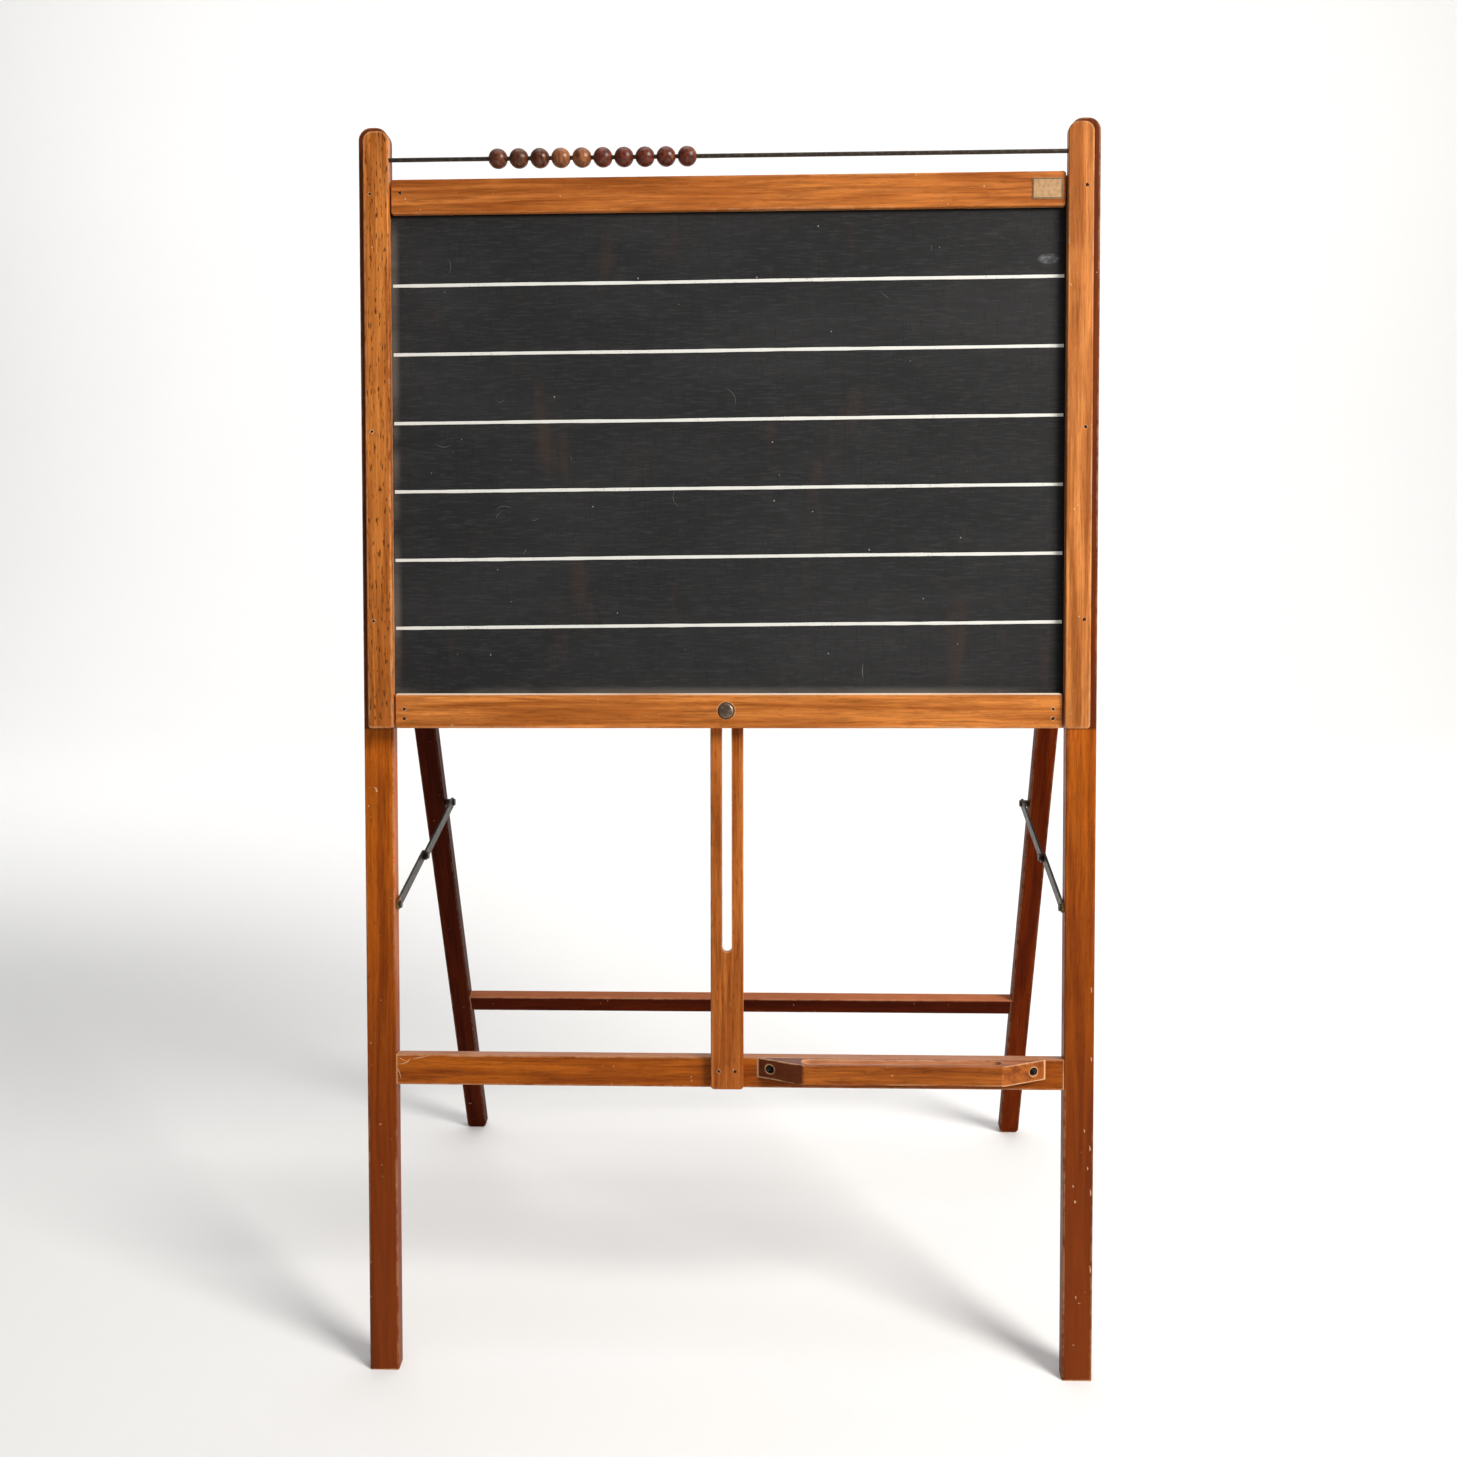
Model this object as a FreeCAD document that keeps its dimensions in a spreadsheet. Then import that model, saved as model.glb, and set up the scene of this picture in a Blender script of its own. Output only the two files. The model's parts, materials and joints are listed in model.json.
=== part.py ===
import FreeCAD, Part
import math
import os
import Sketcher
from FreeCAD import Placement, Rotation, Vector

# Kids easel: a front frame with a height-adjustable blackboard, an abacus and a
# chalk tray, and a rear frame that folds on two hinges and two folding stays.
# Millimetres, +Z up, +X to the right, front towards -Y. Each frame is drawn
# upright in its own plane and then leans by its Placement.

DRIVING = [
    ("overall_width", 615.0, "outer faces of the two front legs"),
    ("leg_length", 1053.0, "front leg, along the leg"),
    ("leg_width", 25.0, "front leg across"),
    ("leg_depth", 14.0, "front leg front to back"),
    ("leg_top_radius", 10.5, "round corners of a leg top"),
    ("edge_radius", 1.2, "eased long edges of the wood"),
    ("front_lean", 13.2, "front frame from the vertical, degrees"),
    ("opening_angle", 26.8, "angle between the frames when open, degrees"),
    ("hinge_height", 829.4, "hinge pin along the front leg"),
    ("rear_leg_width", 20.3, "rear leg across"),
    ("rear_leg_depth", 14.0, "rear leg front to back"),
    ("rear_leg_top_radius", 6.0, "round corners of a rear leg top"),
    ("rear_foot_radius", 4.5, "round corners of a rear foot"),
    ("stretcher_low", 247.5, "underside of the front stretcher"),
    ("stretcher_height", 25.8, "front stretcher"),
    ("crossbar_low", 790.0, "underside of the upper crossbar"),
    ("crossbar_height", 26.0, "upper crossbar"),
    ("rear_stretcher_drop", 661.6, "hinge pin to the rear stretcher's underside"),
    ("rear_stretcher_height", 17.5, "rear stretcher"),
    ("rear_stretcher_depth", 12.0, "rear stretcher front to back"),
    ("dowel_diameter", 6.0, "stretcher dowels"),
    ("dowel_bite", 8.0, "dowel length in each piece"),
    ("bar_width", 27.5, "slotted bar across"),
    ("bar_thick", 7.0, "slotted bar"),
    ("slot_width", 8.0, "slot in the bar"),
    ("board_travel", 200.0, "how far the board slides down"),
    ("slot_end_gap", 0.3, "bolt to each end of the slot"),
    ("top_rail_low", 975.4, "underside of the top rail"),
    ("top_rail_height", 28.2, "top rail"),
    ("bottom_rail_low", 552.3, "underside of the bottom rail"),
    ("bottom_rail_height", 28.9, "bottom rail"),
    ("rail_thick", 12.0, "rails front to back"),
    ("rail_gap", 0.5, "rail back to the slotted bar"),
    ("rail_end_gap", 1.2, "rail end to the stile"),
    ("rail_corner_radius", 2.2, "round corners of the rail ends"),
    ("panel_thick", 4.0, "blackboard"),
    ("panel_setback", 4.5, "blackboard behind the rail fronts"),
    ("groove_depth", 8.0, "groove in each rail for the blackboard"),
    ("groove_clearance", 0.1, "each side of the blackboard in its groove"),
    ("batten_width", 26.0, "side battens behind the rails"),
    ("batten_gap", 0.8, "batten back to the legs"),
    ("channel_gap", 1.2, "batten and blackboard edge to the spacer"),
    ("stile_width", 20.7, "stiles across"),
    ("stile_thick", 8.2, "stiles front to back"),
    ("stile_inset", 9.9, "stile outer edge in from the leg outer face"),
    ("stile_proud", 4.0, "stile front ahead of the rail front"),
    ("stile_top", 1041.9, "top of the stiles"),
    ("stile_top_radius", 8.0, "round corners of a stile top"),
    ("stile_foot_radius", 3.0, "round corners of a stile foot"),
    ("spacer_width", 9.0, "spacer strip behind each stile"),
    ("spacer_inset", 1.1, "spacer edge in from the stile outer edge"),
    ("spacer_end_inset", 14.0, "spacer ends in from the stile ends"),
    ("rod_height", 1019.2, "abacus rod along the frame"),
    ("rod_diameter", 3.5, "abacus rod"),
    ("rod_socket", 6.0, "rod length in each stile"),
    ("bead_diameter", 16.0, "abacus beads"),
    ("bead_length", 15.0, "abacus bead along the rod"),
    ("bead_clearance", 0.1, "bead bore to rod, radial"),
    ("bead_pitch", 17.25, "bead to bead"),
    ("first_bead_place", -186.5, "first bead from the middle"),
    ("tray_middle", 146.0, "tray centre from the middle"),
    ("tray_back_length", 242.0, "tray against the stretcher"),
    ("tray_front_length", 163.0, "tray front face"),
    ("tray_reach", 25.0, "tray front to back"),
    ("tray_height", 16.5, "tray"),
    ("trough_length", 166.0, "chalk trough"),
    ("trough_width", 14.0, "chalk trough"),
    ("trough_depth", 8.5, "chalk trough"),
    ("trough_back_wall", 5.0, "wood behind the trough"),
    ("tray_screw_inset", 11.0, "screw in from the tray's back corner"),
    ("tray_screw_seat", 4.0, "wood under a tray screw head"),
    ("screw_head_diameter", 6.5, "round-head screws"),
    ("screw_head_height", 2.4, "round-head screws"),
    ("screw_shank_diameter", 3.2, "screw shanks"),
    ("screw_bite", 10.0, "screw length in the wood behind"),
    ("seat_clearance", 0.35, "counterbore around a screw head, radial"),
    ("nail_diameter", 1.8, "brads and nails"),
    ("nail_bite", 9.0, "nail length in the piece behind"),
    ("stile_nail_low", 75.0, "lowest stile nail above the spacer's foot"),
    ("stile_nail_high", 37.0, "highest stile nail below the spacer's top"),
    ("bolt_diameter", 5.0, "carriage bolt"),
    ("bolt_head_diameter", 13.5, "carriage bolt"),
    ("bolt_head_height", 3.0, "carriage bolt"),
    ("bolt_recess", 1.4, "shallow recess around the bolt head"),
    ("bolt_tail", 5.0, "bolt length behind the wing nut"),
    ("washer_diameter", 15.0, "washer behind the bar"),
    ("washer_thick", 1.2, "washer behind the bar"),
    ("washer_clearance", 0.05, "washer to bar and to wing nut"),
    ("nut_hub_diameter", 10.0, "wing nut hub"),
    ("nut_length", 7.0, "wing nut hub"),
    ("wing_span", 27.0, "across the wings"),
    ("wing_thick", 2.2, "wings"),
    ("wing_rise", 7.0, "wing tips behind the hub's front"),
    ("nut_clearance", 0.06, "wing nut bore to bolt, radial"),
    ("plate_width", 24.5, "blank plate on the top rail"),
    ("plate_height", 17.0, "blank plate on the top rail"),
    ("plate_thick", 0.5, "blank plate on the top rail"),
    ("plate_inset", 2.6, "blank plate from the rail's end"),
    ("knuckle_radius", 2.5, "hinge knuckles"),
    ("knuckle_gap", 0.2, "knuckle to the wood"),
    ("knuckle_side_gap", 0.2, "between knuckles"),
    ("middle_knuckle", 6.0, "width of the lower leaf's knuckle"),
    ("leaf_thick", 1.2, "hinge leaves"),
    ("leaf_length", 32.0, "hinge leaves, from the pin"),
    ("hinge_width", 18.0, "hinge leaves across"),
    ("pin_diameter", 2.5, "hinge pins"),
    ("pin_clearance", 0.05, "pin in the lower leaf, radial"),
    ("leaf_screw_first", 11.0, "first leaf screw from the pin"),
    ("leaf_screw_step", 13.0, "first to second leaf screw"),
    ("leaf_screw_diameter", 2.6, "leaf screw shanks"),
    ("leaf_screw_head", 4.8, "leaf screw heads"),
    ("leaf_screw_bite", 9.0, "leaf screw length in the wood"),
    ("stay_front_height", 401.0, "stay screw along the front leg"),
    ("stay_rear_drop", 406.2, "hinge pin to the stay's rear screw"),
    ("stay_folded_angle", 88.0, "front link below the horizontal when folded, degrees"),
    ("stay_width", 9.0, "stay links across"),
    ("stay_thick", 2.0, "stay links"),
    ("stay_gap", 0.3, "between links, and link to leg"),
    ("stay_pin_diameter", 4.0, "stay screws and rivets"),
    ("stay_pin_clearance", 0.06, "stay holes, radial"),
    ("stay_head_diameter", 6.5, "stay screw and rivet heads"),
    ("stay_head_height", 1.6, "stay screw and rivet heads"),
    ("stay_screw_bite", 15.0, "stay screw length in the front leg"),
]

# Places and sizes that follow from the driving ones. Depths run backwards from
# the front faces of the front legs, so pieces in front of them are negative.
DERIVED = [
    ("leg_inner", "Dims.overall_width / 2 - Dims.leg_width"),
    ("leg_centre", "Dims.overall_width / 2 - Dims.leg_width / 2"),
    ("hinge_depth", "Dims.leg_depth + Dims.knuckle_radius + Dims.knuckle_gap"),
    ("rear_lean", "Dims.opening_angle - Dims.front_lean"),
    ("hinge_back", "hinge_depth * cos(Dims.front_lean) + Dims.hinge_height * sin(Dims.front_lean)"),
    ("hinge_up", "Dims.hinge_height * cos(Dims.front_lean) - hinge_depth * sin(Dims.front_lean)"),
    ("rear_front_face", "Dims.knuckle_radius + Dims.knuckle_gap"),
    ("rear_back_face", "rear_front_face + Dims.rear_leg_depth"),
    ("rear_foot_front", "(hinge_up + rear_front_face * sin(rear_lean)) / cos(rear_lean)"),
    ("rear_foot_back", "(hinge_up + rear_back_face * sin(rear_lean)) / cos(rear_lean)"),
    ("foot_retreat", "Dims.edge_radius / tan(45 - rear_lean / 2) - Dims.edge_radius"),
    ("overall_depth", "hinge_back + rear_back_face * cos(rear_lean) + rear_foot_back * sin(rear_lean)"
                      " - foot_retreat"),
    ("front_shift", "0 - overall_depth / 2"),
    ("hinge_world_y", "hinge_back - overall_depth / 2"),
    ("rear_leg_inner", "leg_centre - Dims.rear_leg_width / 2"),
    ("stretcher_top", "Dims.stretcher_low + Dims.stretcher_height"),
    ("crossbar_top", "Dims.crossbar_low + Dims.crossbar_height"),
    ("top_rail_top", "Dims.top_rail_low + Dims.top_rail_height"),
    ("bottom_rail_top", "Dims.bottom_rail_low + Dims.bottom_rail_height"),
    ("rail_back", "0 - Dims.bar_thick - Dims.rail_gap"),
    ("rail_front", "rail_back - Dims.rail_thick"),
    ("panel_front", "rail_front + Dims.panel_setback"),
    ("panel_back", "panel_front + Dims.panel_thick"),
    ("panel_low", "bottom_rail_top - Dims.groove_depth"),
    ("panel_high", "Dims.top_rail_low + Dims.groove_depth"),
    ("stile_front", "rail_front - Dims.stile_proud"),
    ("stile_back", "stile_front + Dims.stile_thick"),
    ("stile_outer", "Dims.overall_width / 2 - Dims.stile_inset"),
    ("stile_inner", "stile_outer - Dims.stile_width"),
    ("stile_middle", "stile_inner + Dims.stile_width / 2"),
    ("spacer_outer", "stile_outer - Dims.spacer_inset"),
    ("spacer_inner", "spacer_outer - Dims.spacer_width"),
    ("spacer_low", "Dims.bottom_rail_low + Dims.spacer_end_inset"),
    ("spacer_high", "Dims.stile_top - Dims.spacer_end_inset"),
    ("board_edge", "spacer_inner - Dims.channel_gap"),
    ("batten_inner", "board_edge - Dims.batten_width"),
    ("rail_end", "stile_inner - Dims.rail_end_gap"),
    ("rail_nail_place", "(batten_inner + rail_end) / 2"),
    ("rod_depth", "(stile_front + stile_back) / 2"),
    ("tray_low", "stretcher_top - Dims.tray_height"),
    ("tray_screw_place", "Dims.tray_back_length / 2 - Dims.tray_screw_inset"),
    ("tray_screw_height", "tray_low + Dims.tray_height / 2"),
    ("trough_middle", "0 - Dims.trough_back_wall - Dims.trough_width / 2"),
    ("bolt_height", "Dims.bottom_rail_low + Dims.bottom_rail_height / 2"),
    ("slot_high", "bolt_height + Dims.bolt_diameter / 2 + Dims.slot_end_gap - Dims.slot_width / 2"),
    ("slot_low", "slot_high - Dims.board_travel - Dims.bolt_diameter + Dims.slot_width - Dims.slot_end_gap * 2"),
    ("nut_front", "Dims.washer_thick + Dims.washer_clearance * 2"),
    ("stay_front_depth", "Dims.leg_depth / 2"),
    ("stay_rear_depth", "rear_front_face + Dims.rear_leg_depth / 2"),
    ("open_rise", "Dims.hinge_height + stay_rear_depth * sin(Dims.opening_angle)"
                  " - Dims.stay_rear_drop * cos(Dims.opening_angle) - Dims.stay_front_height"),
    ("open_run", "hinge_depth + stay_rear_depth * cos(Dims.opening_angle)"
                 " + Dims.stay_rear_drop * sin(Dims.opening_angle) - stay_front_depth"),
    ("stay_span", "sqrt(open_rise * open_rise + open_run * open_run)"),
    ("stay_slope", "atan(open_rise / open_run) / 1deg"),
    ("folded_rise", "Dims.hinge_height - Dims.stay_rear_drop - Dims.stay_front_height"),
    ("folded_run", "hinge_depth + stay_rear_depth - stay_front_depth"),
    ("folded_reach", "folded_run * cos(Dims.stay_folded_angle) - folded_rise * sin(Dims.stay_folded_angle)"),
    ("front_link", "(stay_span * stay_span - folded_rise * folded_rise - folded_run * folded_run)"
                   " / (2 * (stay_span - folded_reach))"),
    ("rear_link", "stay_span - front_link"),
    ("stay_tilt", "stay_slope - Dims.front_lean"),
    ("stay_world_y", "front_shift + stay_front_depth * cos(Dims.front_lean)"
                     " + Dims.stay_front_height * sin(Dims.front_lean)"),
    ("stay_world_z", "Dims.stay_front_height * cos(Dims.front_lean)"
                     " - stay_front_depth * sin(Dims.front_lean)"),
    ("front_link_face", "leg_inner - Dims.stay_gap"),
    ("rear_link_face", "front_link_face - Dims.stay_thick - Dims.stay_gap"),
    ("rear_link_inside", "rear_link_face - Dims.stay_thick"),
]

BEADS = 10
SIDES = (("left", -1), ("right", 1))

doc = FreeCAD.newDocument("KidsEasel")
nodes = []


def fill_sheet(name, rows):
    """One spreadsheet: a note or a formula in each row, its value aliased."""
    sheet = doc.addObject("Spreadsheet::Sheet", name)
    for number, row in enumerate(rows, 1):
        cell = "B%d" % number
        text = str(row[1]) if len(row) == 3 else "=" + row[1]
        sheet.set("A%d" % number, row[-1] if len(row) == 3 else row[0].replace("_", " "))
        sheet.set(cell, text)
        sheet.setAlias(cell, row[0])
    doc.recompute()
    return sheet


dims = fill_sheet("Dims", DRIVING)
layout = fill_sheet("Layout", DERIVED)


def lean(thing, frame):
    """Place a piece that is drawn upright in a frame's own plane."""
    if frame == "front":
        thing.Placement = Placement(Vector(0, -1, 0), Rotation(Vector(-1, 0, 0), 10))
        thing.setExpression("Placement.Base.y", "Layout.front_shift")
        thing.setExpression("Placement.Rotation.Angle", "Dims.front_lean")
    elif frame == "rear":
        thing.Placement = Placement(Vector(0, 1, 1), Rotation(Vector(1, 0, 0), 10))
        thing.setExpression("Placement.Base.y", "Layout.hinge_world_y")
        thing.setExpression("Placement.Base.z", "Layout.hinge_up")
        thing.setExpression("Placement.Rotation.Angle", "Layout.rear_lean")
    elif frame == "stay":
        thing.Placement = Placement(Vector(0, 1, 1), Rotation(Vector(1, 0, 0), 5))
        thing.setExpression("Placement.Base.y", "Layout.stay_world_y")
        thing.setExpression("Placement.Base.z", "Layout.stay_world_z")
        thing.setExpression("Placement.Rotation.Angle", "Layout.stay_tilt")


def new_body(name, frame):
    body = doc.addObject("PartDesign::Body", name)
    body.Label = name
    lean(body, frame)
    nodes.append(body)
    return body


def sketch_on(body, name, role, offset=None):
    """A sketch on one of the body's own origin planes, at an offset along its normal."""
    sketch = body.newObject("Sketcher::SketchObject", body.Name + "_" + name)
    plane = [item for item in body.Origin.OriginFeatures if item.Role == role][0]
    sketch.AttachmentSupport = [(plane, "")]
    sketch.MapMode = "FlatFace"
    if offset is not None:
        sketch.setExpression("AttachmentOffset.Base.z", offset)
    return sketch


def value_of(expression):
    """The number that an expression has now, to draw near the solved shape."""
    return float(dims.evalExpression(expression))


def pin_point(sketch, geometry, point, x, y):
    """Bind a sketch point's two coordinates to expressions."""
    for kind, expression in (("DistanceX", x), ("DistanceY", y)):
        number = value_of(expression)
        if abs(number) < 1e-9 and expression == "0":
            target = -2 if kind == "DistanceX" else -1
            sketch.addConstraint(Sketcher.Constraint("PointOnObject", geometry, point, target))
        else:
            index = sketch.addConstraint(Sketcher.Constraint(kind, -1, 1, geometry, point, number))
            sketch.setExpression("Constraints[%d]" % index, expression)


def outline(sketch, corners):
    """A closed run of straight lines through corners given as expressions."""
    spots = [Vector(value_of(x), value_of(y), 0) for x, y in corners]
    first = sketch.GeometryCount
    count = len(spots)
    for number in range(count):
        sketch.addGeometry(Part.LineSegment(spots[number], spots[(number + 1) % count]))
    for number in range(count):
        joint = Sketcher.Constraint("Coincident", first + number, 2, first + (number + 1) % count, 1)
        sketch.addConstraint(joint)
    for number, (x, y) in enumerate(corners):
        pin_point(sketch, first + number, 1, x, y)


def box_outline(sketch, left, right, low, high):
    outline(sketch, [(left, low), (right, low), (right, high), (left, high)])


def circle(sketch, x, y, radius):
    index = sketch.addGeometry(Part.Circle(Vector(value_of(x), value_of(y), 0), Vector(0, 0, 1),
                                           value_of(radius)))
    pin_point(sketch, index, 3, x, y)
    size = sketch.addConstraint(Sketcher.Constraint("Radius", index, value_of(radius)))
    sketch.setExpression("Constraints[%d]" % size, radius)


def round_slot(sketch, start, finish, radius, upright):
    """A slot with round ends: two arcs and two tangent lines, along the sketch's x or y."""
    size = value_of(radius)
    centres = [Vector(value_of(x), value_of(y), 0) for x, y in (start, finish)]
    turn = 90 if upright else 0
    arcs = []
    for number, centre in enumerate(centres):
        opening = turn + (90 if number == 0 else -90)
        ring = Part.Circle(centre, Vector(0, 0, 1), size)
        begin = FreeCAD.Units.Quantity(opening, FreeCAD.Units.Angle).getValueAs("rad").Value
        end = FreeCAD.Units.Quantity(opening + 180, FreeCAD.Units.Angle).getValueAs("rad").Value
        arcs.append(sketch.addGeometry(Part.ArcOfCircle(ring, begin, end)))
    ends = [sketch.getPoint(arc, point) for arc in arcs for point in (1, 2)]
    near = sketch.addGeometry(Part.LineSegment(ends[1], ends[2]))
    far = sketch.addGeometry(Part.LineSegment(ends[3], ends[0]))
    for arc, point, line, side in ((arcs[0], 2, near, 1), (arcs[1], 1, near, 2),
                                   (arcs[1], 2, far, 1), (arcs[0], 1, far, 2)):
        sketch.addConstraint(Sketcher.Constraint("Tangent", arc, point, line, side))
    sketch.addConstraint(Sketcher.Constraint("Equal", arcs[0], arcs[1]))
    pin_point(sketch, arcs[0], 3, *start)
    if upright:
        index = sketch.addConstraint(Sketcher.Constraint("DistanceY", -1, 1, arcs[1], 3, centres[1].y))
        sketch.setExpression("Constraints[%d]" % index, finish[1])
        sketch.addConstraint(Sketcher.Constraint("Vertical", near))
    else:
        index = sketch.addConstraint(Sketcher.Constraint("DistanceX", -1, 1, arcs[1], 3, centres[1].x))
        sketch.setExpression("Constraints[%d]" % index, finish[0])
        sketch.addConstraint(Sketcher.Constraint("Horizontal", near))
    index = sketch.addConstraint(Sketcher.Constraint("Radius", arcs[0], size))
    sketch.setExpression("Constraints[%d]" % index, radius)


def pad(body, sketch, length, both_ways=False, backwards=False):
    feature = body.newObject("PartDesign::Pad", sketch.Name + "_pad")
    feature.Profile = sketch
    feature.setExpression("Length", length)
    if both_ways:
        feature.SideType = "Symmetric"
    feature.Reversed = backwards
    body.Tip = feature
    return feature


def pocket(body, sketch, length=None, backwards=False):
    """Cut a sketch into the body, all the way through when no length is given."""
    before = body.Tip
    feature = body.newObject("PartDesign::Pocket", sketch.Name + "_cut")
    feature.Profile = sketch
    if length is None:
        feature.SideType = "Symmetric"
        feature.Type = "ThroughAll"
    else:
        feature.setExpression("Length", length)
    feature.Reversed = backwards
    body.Tip = feature
    doc.recompute()
    if feature.Shape.Volume >= before.Shape.Volume - 1e-6:
        raise ValueError("%s cuts nothing" % feature.Name)
    return feature


def revolve(body, sketch, axis):
    feature = body.newObject("PartDesign::Revolution", sketch.Name + "_turned")
    feature.Profile = sketch
    feature.ReferenceAxis = (sketch, [axis])
    feature.Angle = 360
    body.Tip = feature
    return feature


def is_along(edge, axis):
    """True for a straight edge that runs along an axis given as a Vector."""
    return edge.Curve.TypeId == "Part::GeomLine" and edge.tangentAt(edge.FirstParameter).cross(axis).Length < 1e-6


def ease(body, name, radius, wanted):
    """Fillet the edges of the body's tip that the test picks."""
    doc.recompute()
    base = body.Tip
    names = ["Edge%d" % number for number, edge in enumerate(base.Shape.Edges, 1) if wanted(edge)]
    if not names:
        raise ValueError("%s has no edge to ease" % body.Label)
    feature = body.newObject("PartDesign::Fillet", body.Name + "_" + name)
    feature.Base = (base, names)
    feature.setExpression("Radius", radius)
    body.Tip = feature
    doc.recompute()
    return feature


ALONG_X = Vector(1, 0, 0)
ALONG_Y = Vector(0, 1, 0)
ALONG_Z = Vector(0, 0, 1)


def signed(sign, expression):
    """An expression on the left or the right of the middle."""
    return expression if sign > 0 else "0 - (%s)" % expression


def span(sign, inner, outer):
    """Two x expressions in rising order for a piece on one side."""
    pair = (signed(sign, inner), signed(sign, outer))
    return pair if sign > 0 else (pair[1], pair[0])


def slab(name, frame, left, right, low, high, front, thick):
    """A board drawn face on: left, right, low and high, and its front depth."""
    body = new_body(name, frame)
    sketch = sketch_on(body, "face", "XZ_Plane", "0 - (%s)" % front)
    box_outline(sketch, left, right, low, high)
    pad(body, sketch, thick, backwards=True)
    return body


def drill(body, name, role, spots, radius, depth, offset=None, backwards=False):
    """Round holes at spots on an origin plane, from its offset."""
    sketch = sketch_on(body, name, role, offset)
    for x, y in spots:
        circle(sketch, x, y, radius)
    return pocket(body, sketch, depth, backwards)


def rod(name, spots, radius, length, axis):
    """A cylinder for each spot, each its own solid, along +X or +Y of its frame."""
    rods = []
    turn = Rotation(ALONG_Y, 90) if axis == "x" else Rotation(ALONG_X, -90)
    for number, (x, y, z) in enumerate(spots, 1):
        piece = doc.addObject("Part::Cylinder", "%s_%d" % (name, number))
        piece.Placement = Placement(Vector(0, 0, 0), turn)
        piece.setExpression("Radius", radius)
        piece.setExpression("Height", length)
        for letter, expression in zip("xyz", (x, y, z)):
            piece.setExpression("Placement.Base." + letter, expression)
        rods.append(piece)
    return rods


def group(name, pieces, frame):
    """Loose pieces of one kind, kept as separate solids in one node."""
    bundle = doc.addObject("Part::Compound", name)
    bundle.Label = name
    bundle.Links = pieces
    lean(bundle, frame)
    nodes.append(bundle)
    return bundle


# Dowel, nail and screw places, used both for the holes and for the pieces.
def dowel_heights(low, height):
    return ["%s + %s * %s" % (low, height, share) for share in (0.28, 0.72)]


FRONT_DOWELS = (dowel_heights("Dims.stretcher_low", "Dims.stretcher_height")
                + dowel_heights("Dims.crossbar_low", "Dims.crossbar_height"))
REAR_DOWEL = "0 - Dims.rear_stretcher_drop + Dims.rear_stretcher_height / 2"
BAR_BRADS = [(side, height) for side in ("0 - Dims.bar_width / 4", "Dims.bar_width / 4")
             for height in ("Dims.stretcher_low + Dims.stretcher_height * 0.6",
                            "Dims.crossbar_low + Dims.crossbar_height * 0.5")]
STILE_NAILS = ["Layout.spacer_low + Dims.stile_nail_low",
               "(Layout.spacer_low + Layout.spacer_high) / 2",
               "Layout.spacer_high - Dims.stile_nail_high"]
RAIL_NAILS = ["Dims.bottom_rail_low + Dims.bottom_rail_height * 0.28",
              "Dims.bottom_rail_low + Dims.bottom_rail_height * 0.55",
              "Dims.top_rail_low + Dims.top_rail_height * 0.62"]
LEAF_SCREWS = ["Dims.leaf_screw_first", "Dims.leaf_screw_first + Dims.leaf_screw_step"]


def build_front_legs():
    for side, sign in SIDES:
        left, right = span(sign, "Layout.leg_inner", "Dims.overall_width / 2")
        leg = slab("leg_" + side, "front", left, right, "0", "Dims.leg_length", "0", "Dims.leg_depth")
        top = value_of("Dims.leg_length")
        ease(leg, "top", "Dims.leg_top_radius",
             lambda edge: is_along(edge, ALONG_Y) and abs(edge.CenterOfMass.z - top) < 1e-3)
        ease(leg, "edges", "Dims.edge_radius", lambda edge: is_along(edge, ALONG_Z))
        foot = sketch_on(leg, "foot", "YZ_Plane")
        outline(foot, [("0 - Dims.leg_depth", "0 - Dims.leg_depth * tan(Dims.front_lean)"),
                       ("2 * Dims.leg_depth", "0 - Dims.leg_depth"),
                       ("2 * Dims.leg_depth", "2 * Dims.leg_depth * tan(Dims.front_lean)")])
        pocket(leg, foot)
        inner = signed(sign, "Layout.leg_inner")
        spots = [("Dims.leg_depth / 2", height) for height in FRONT_DOWELS]
        drill(leg, "dowel_holes", "YZ_Plane", spots, "Dims.dowel_diameter / 2", "Dims.dowel_bite",
              inner, backwards=sign > 0)
        drill(leg, "stay_hole", "YZ_Plane", [("Layout.stay_front_depth", "Dims.stay_front_height")],
              "Dims.stay_pin_diameter / 2", "Dims.stay_screw_bite", inner, backwards=sign > 0)
        centre = signed(sign, "Layout.leg_centre")
        spots = [(centre, "Dims.hinge_height + " + step) for step in LEAF_SCREWS]
        drill(leg, "leaf_holes", "XZ_Plane", spots, "Dims.leaf_screw_diameter / 2",
              "Dims.leaf_screw_bite", "0 - Dims.leg_depth", backwards=True)
        spots = [(signed(sign, "(Layout.spacer_inner + Layout.spacer_outer) / 2"), height)
                 for height in STILE_NAILS]
        drill(leg, "nail_holes", "XZ_Plane", spots, "Dims.nail_diameter / 2", "Dims.nail_bite")


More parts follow.
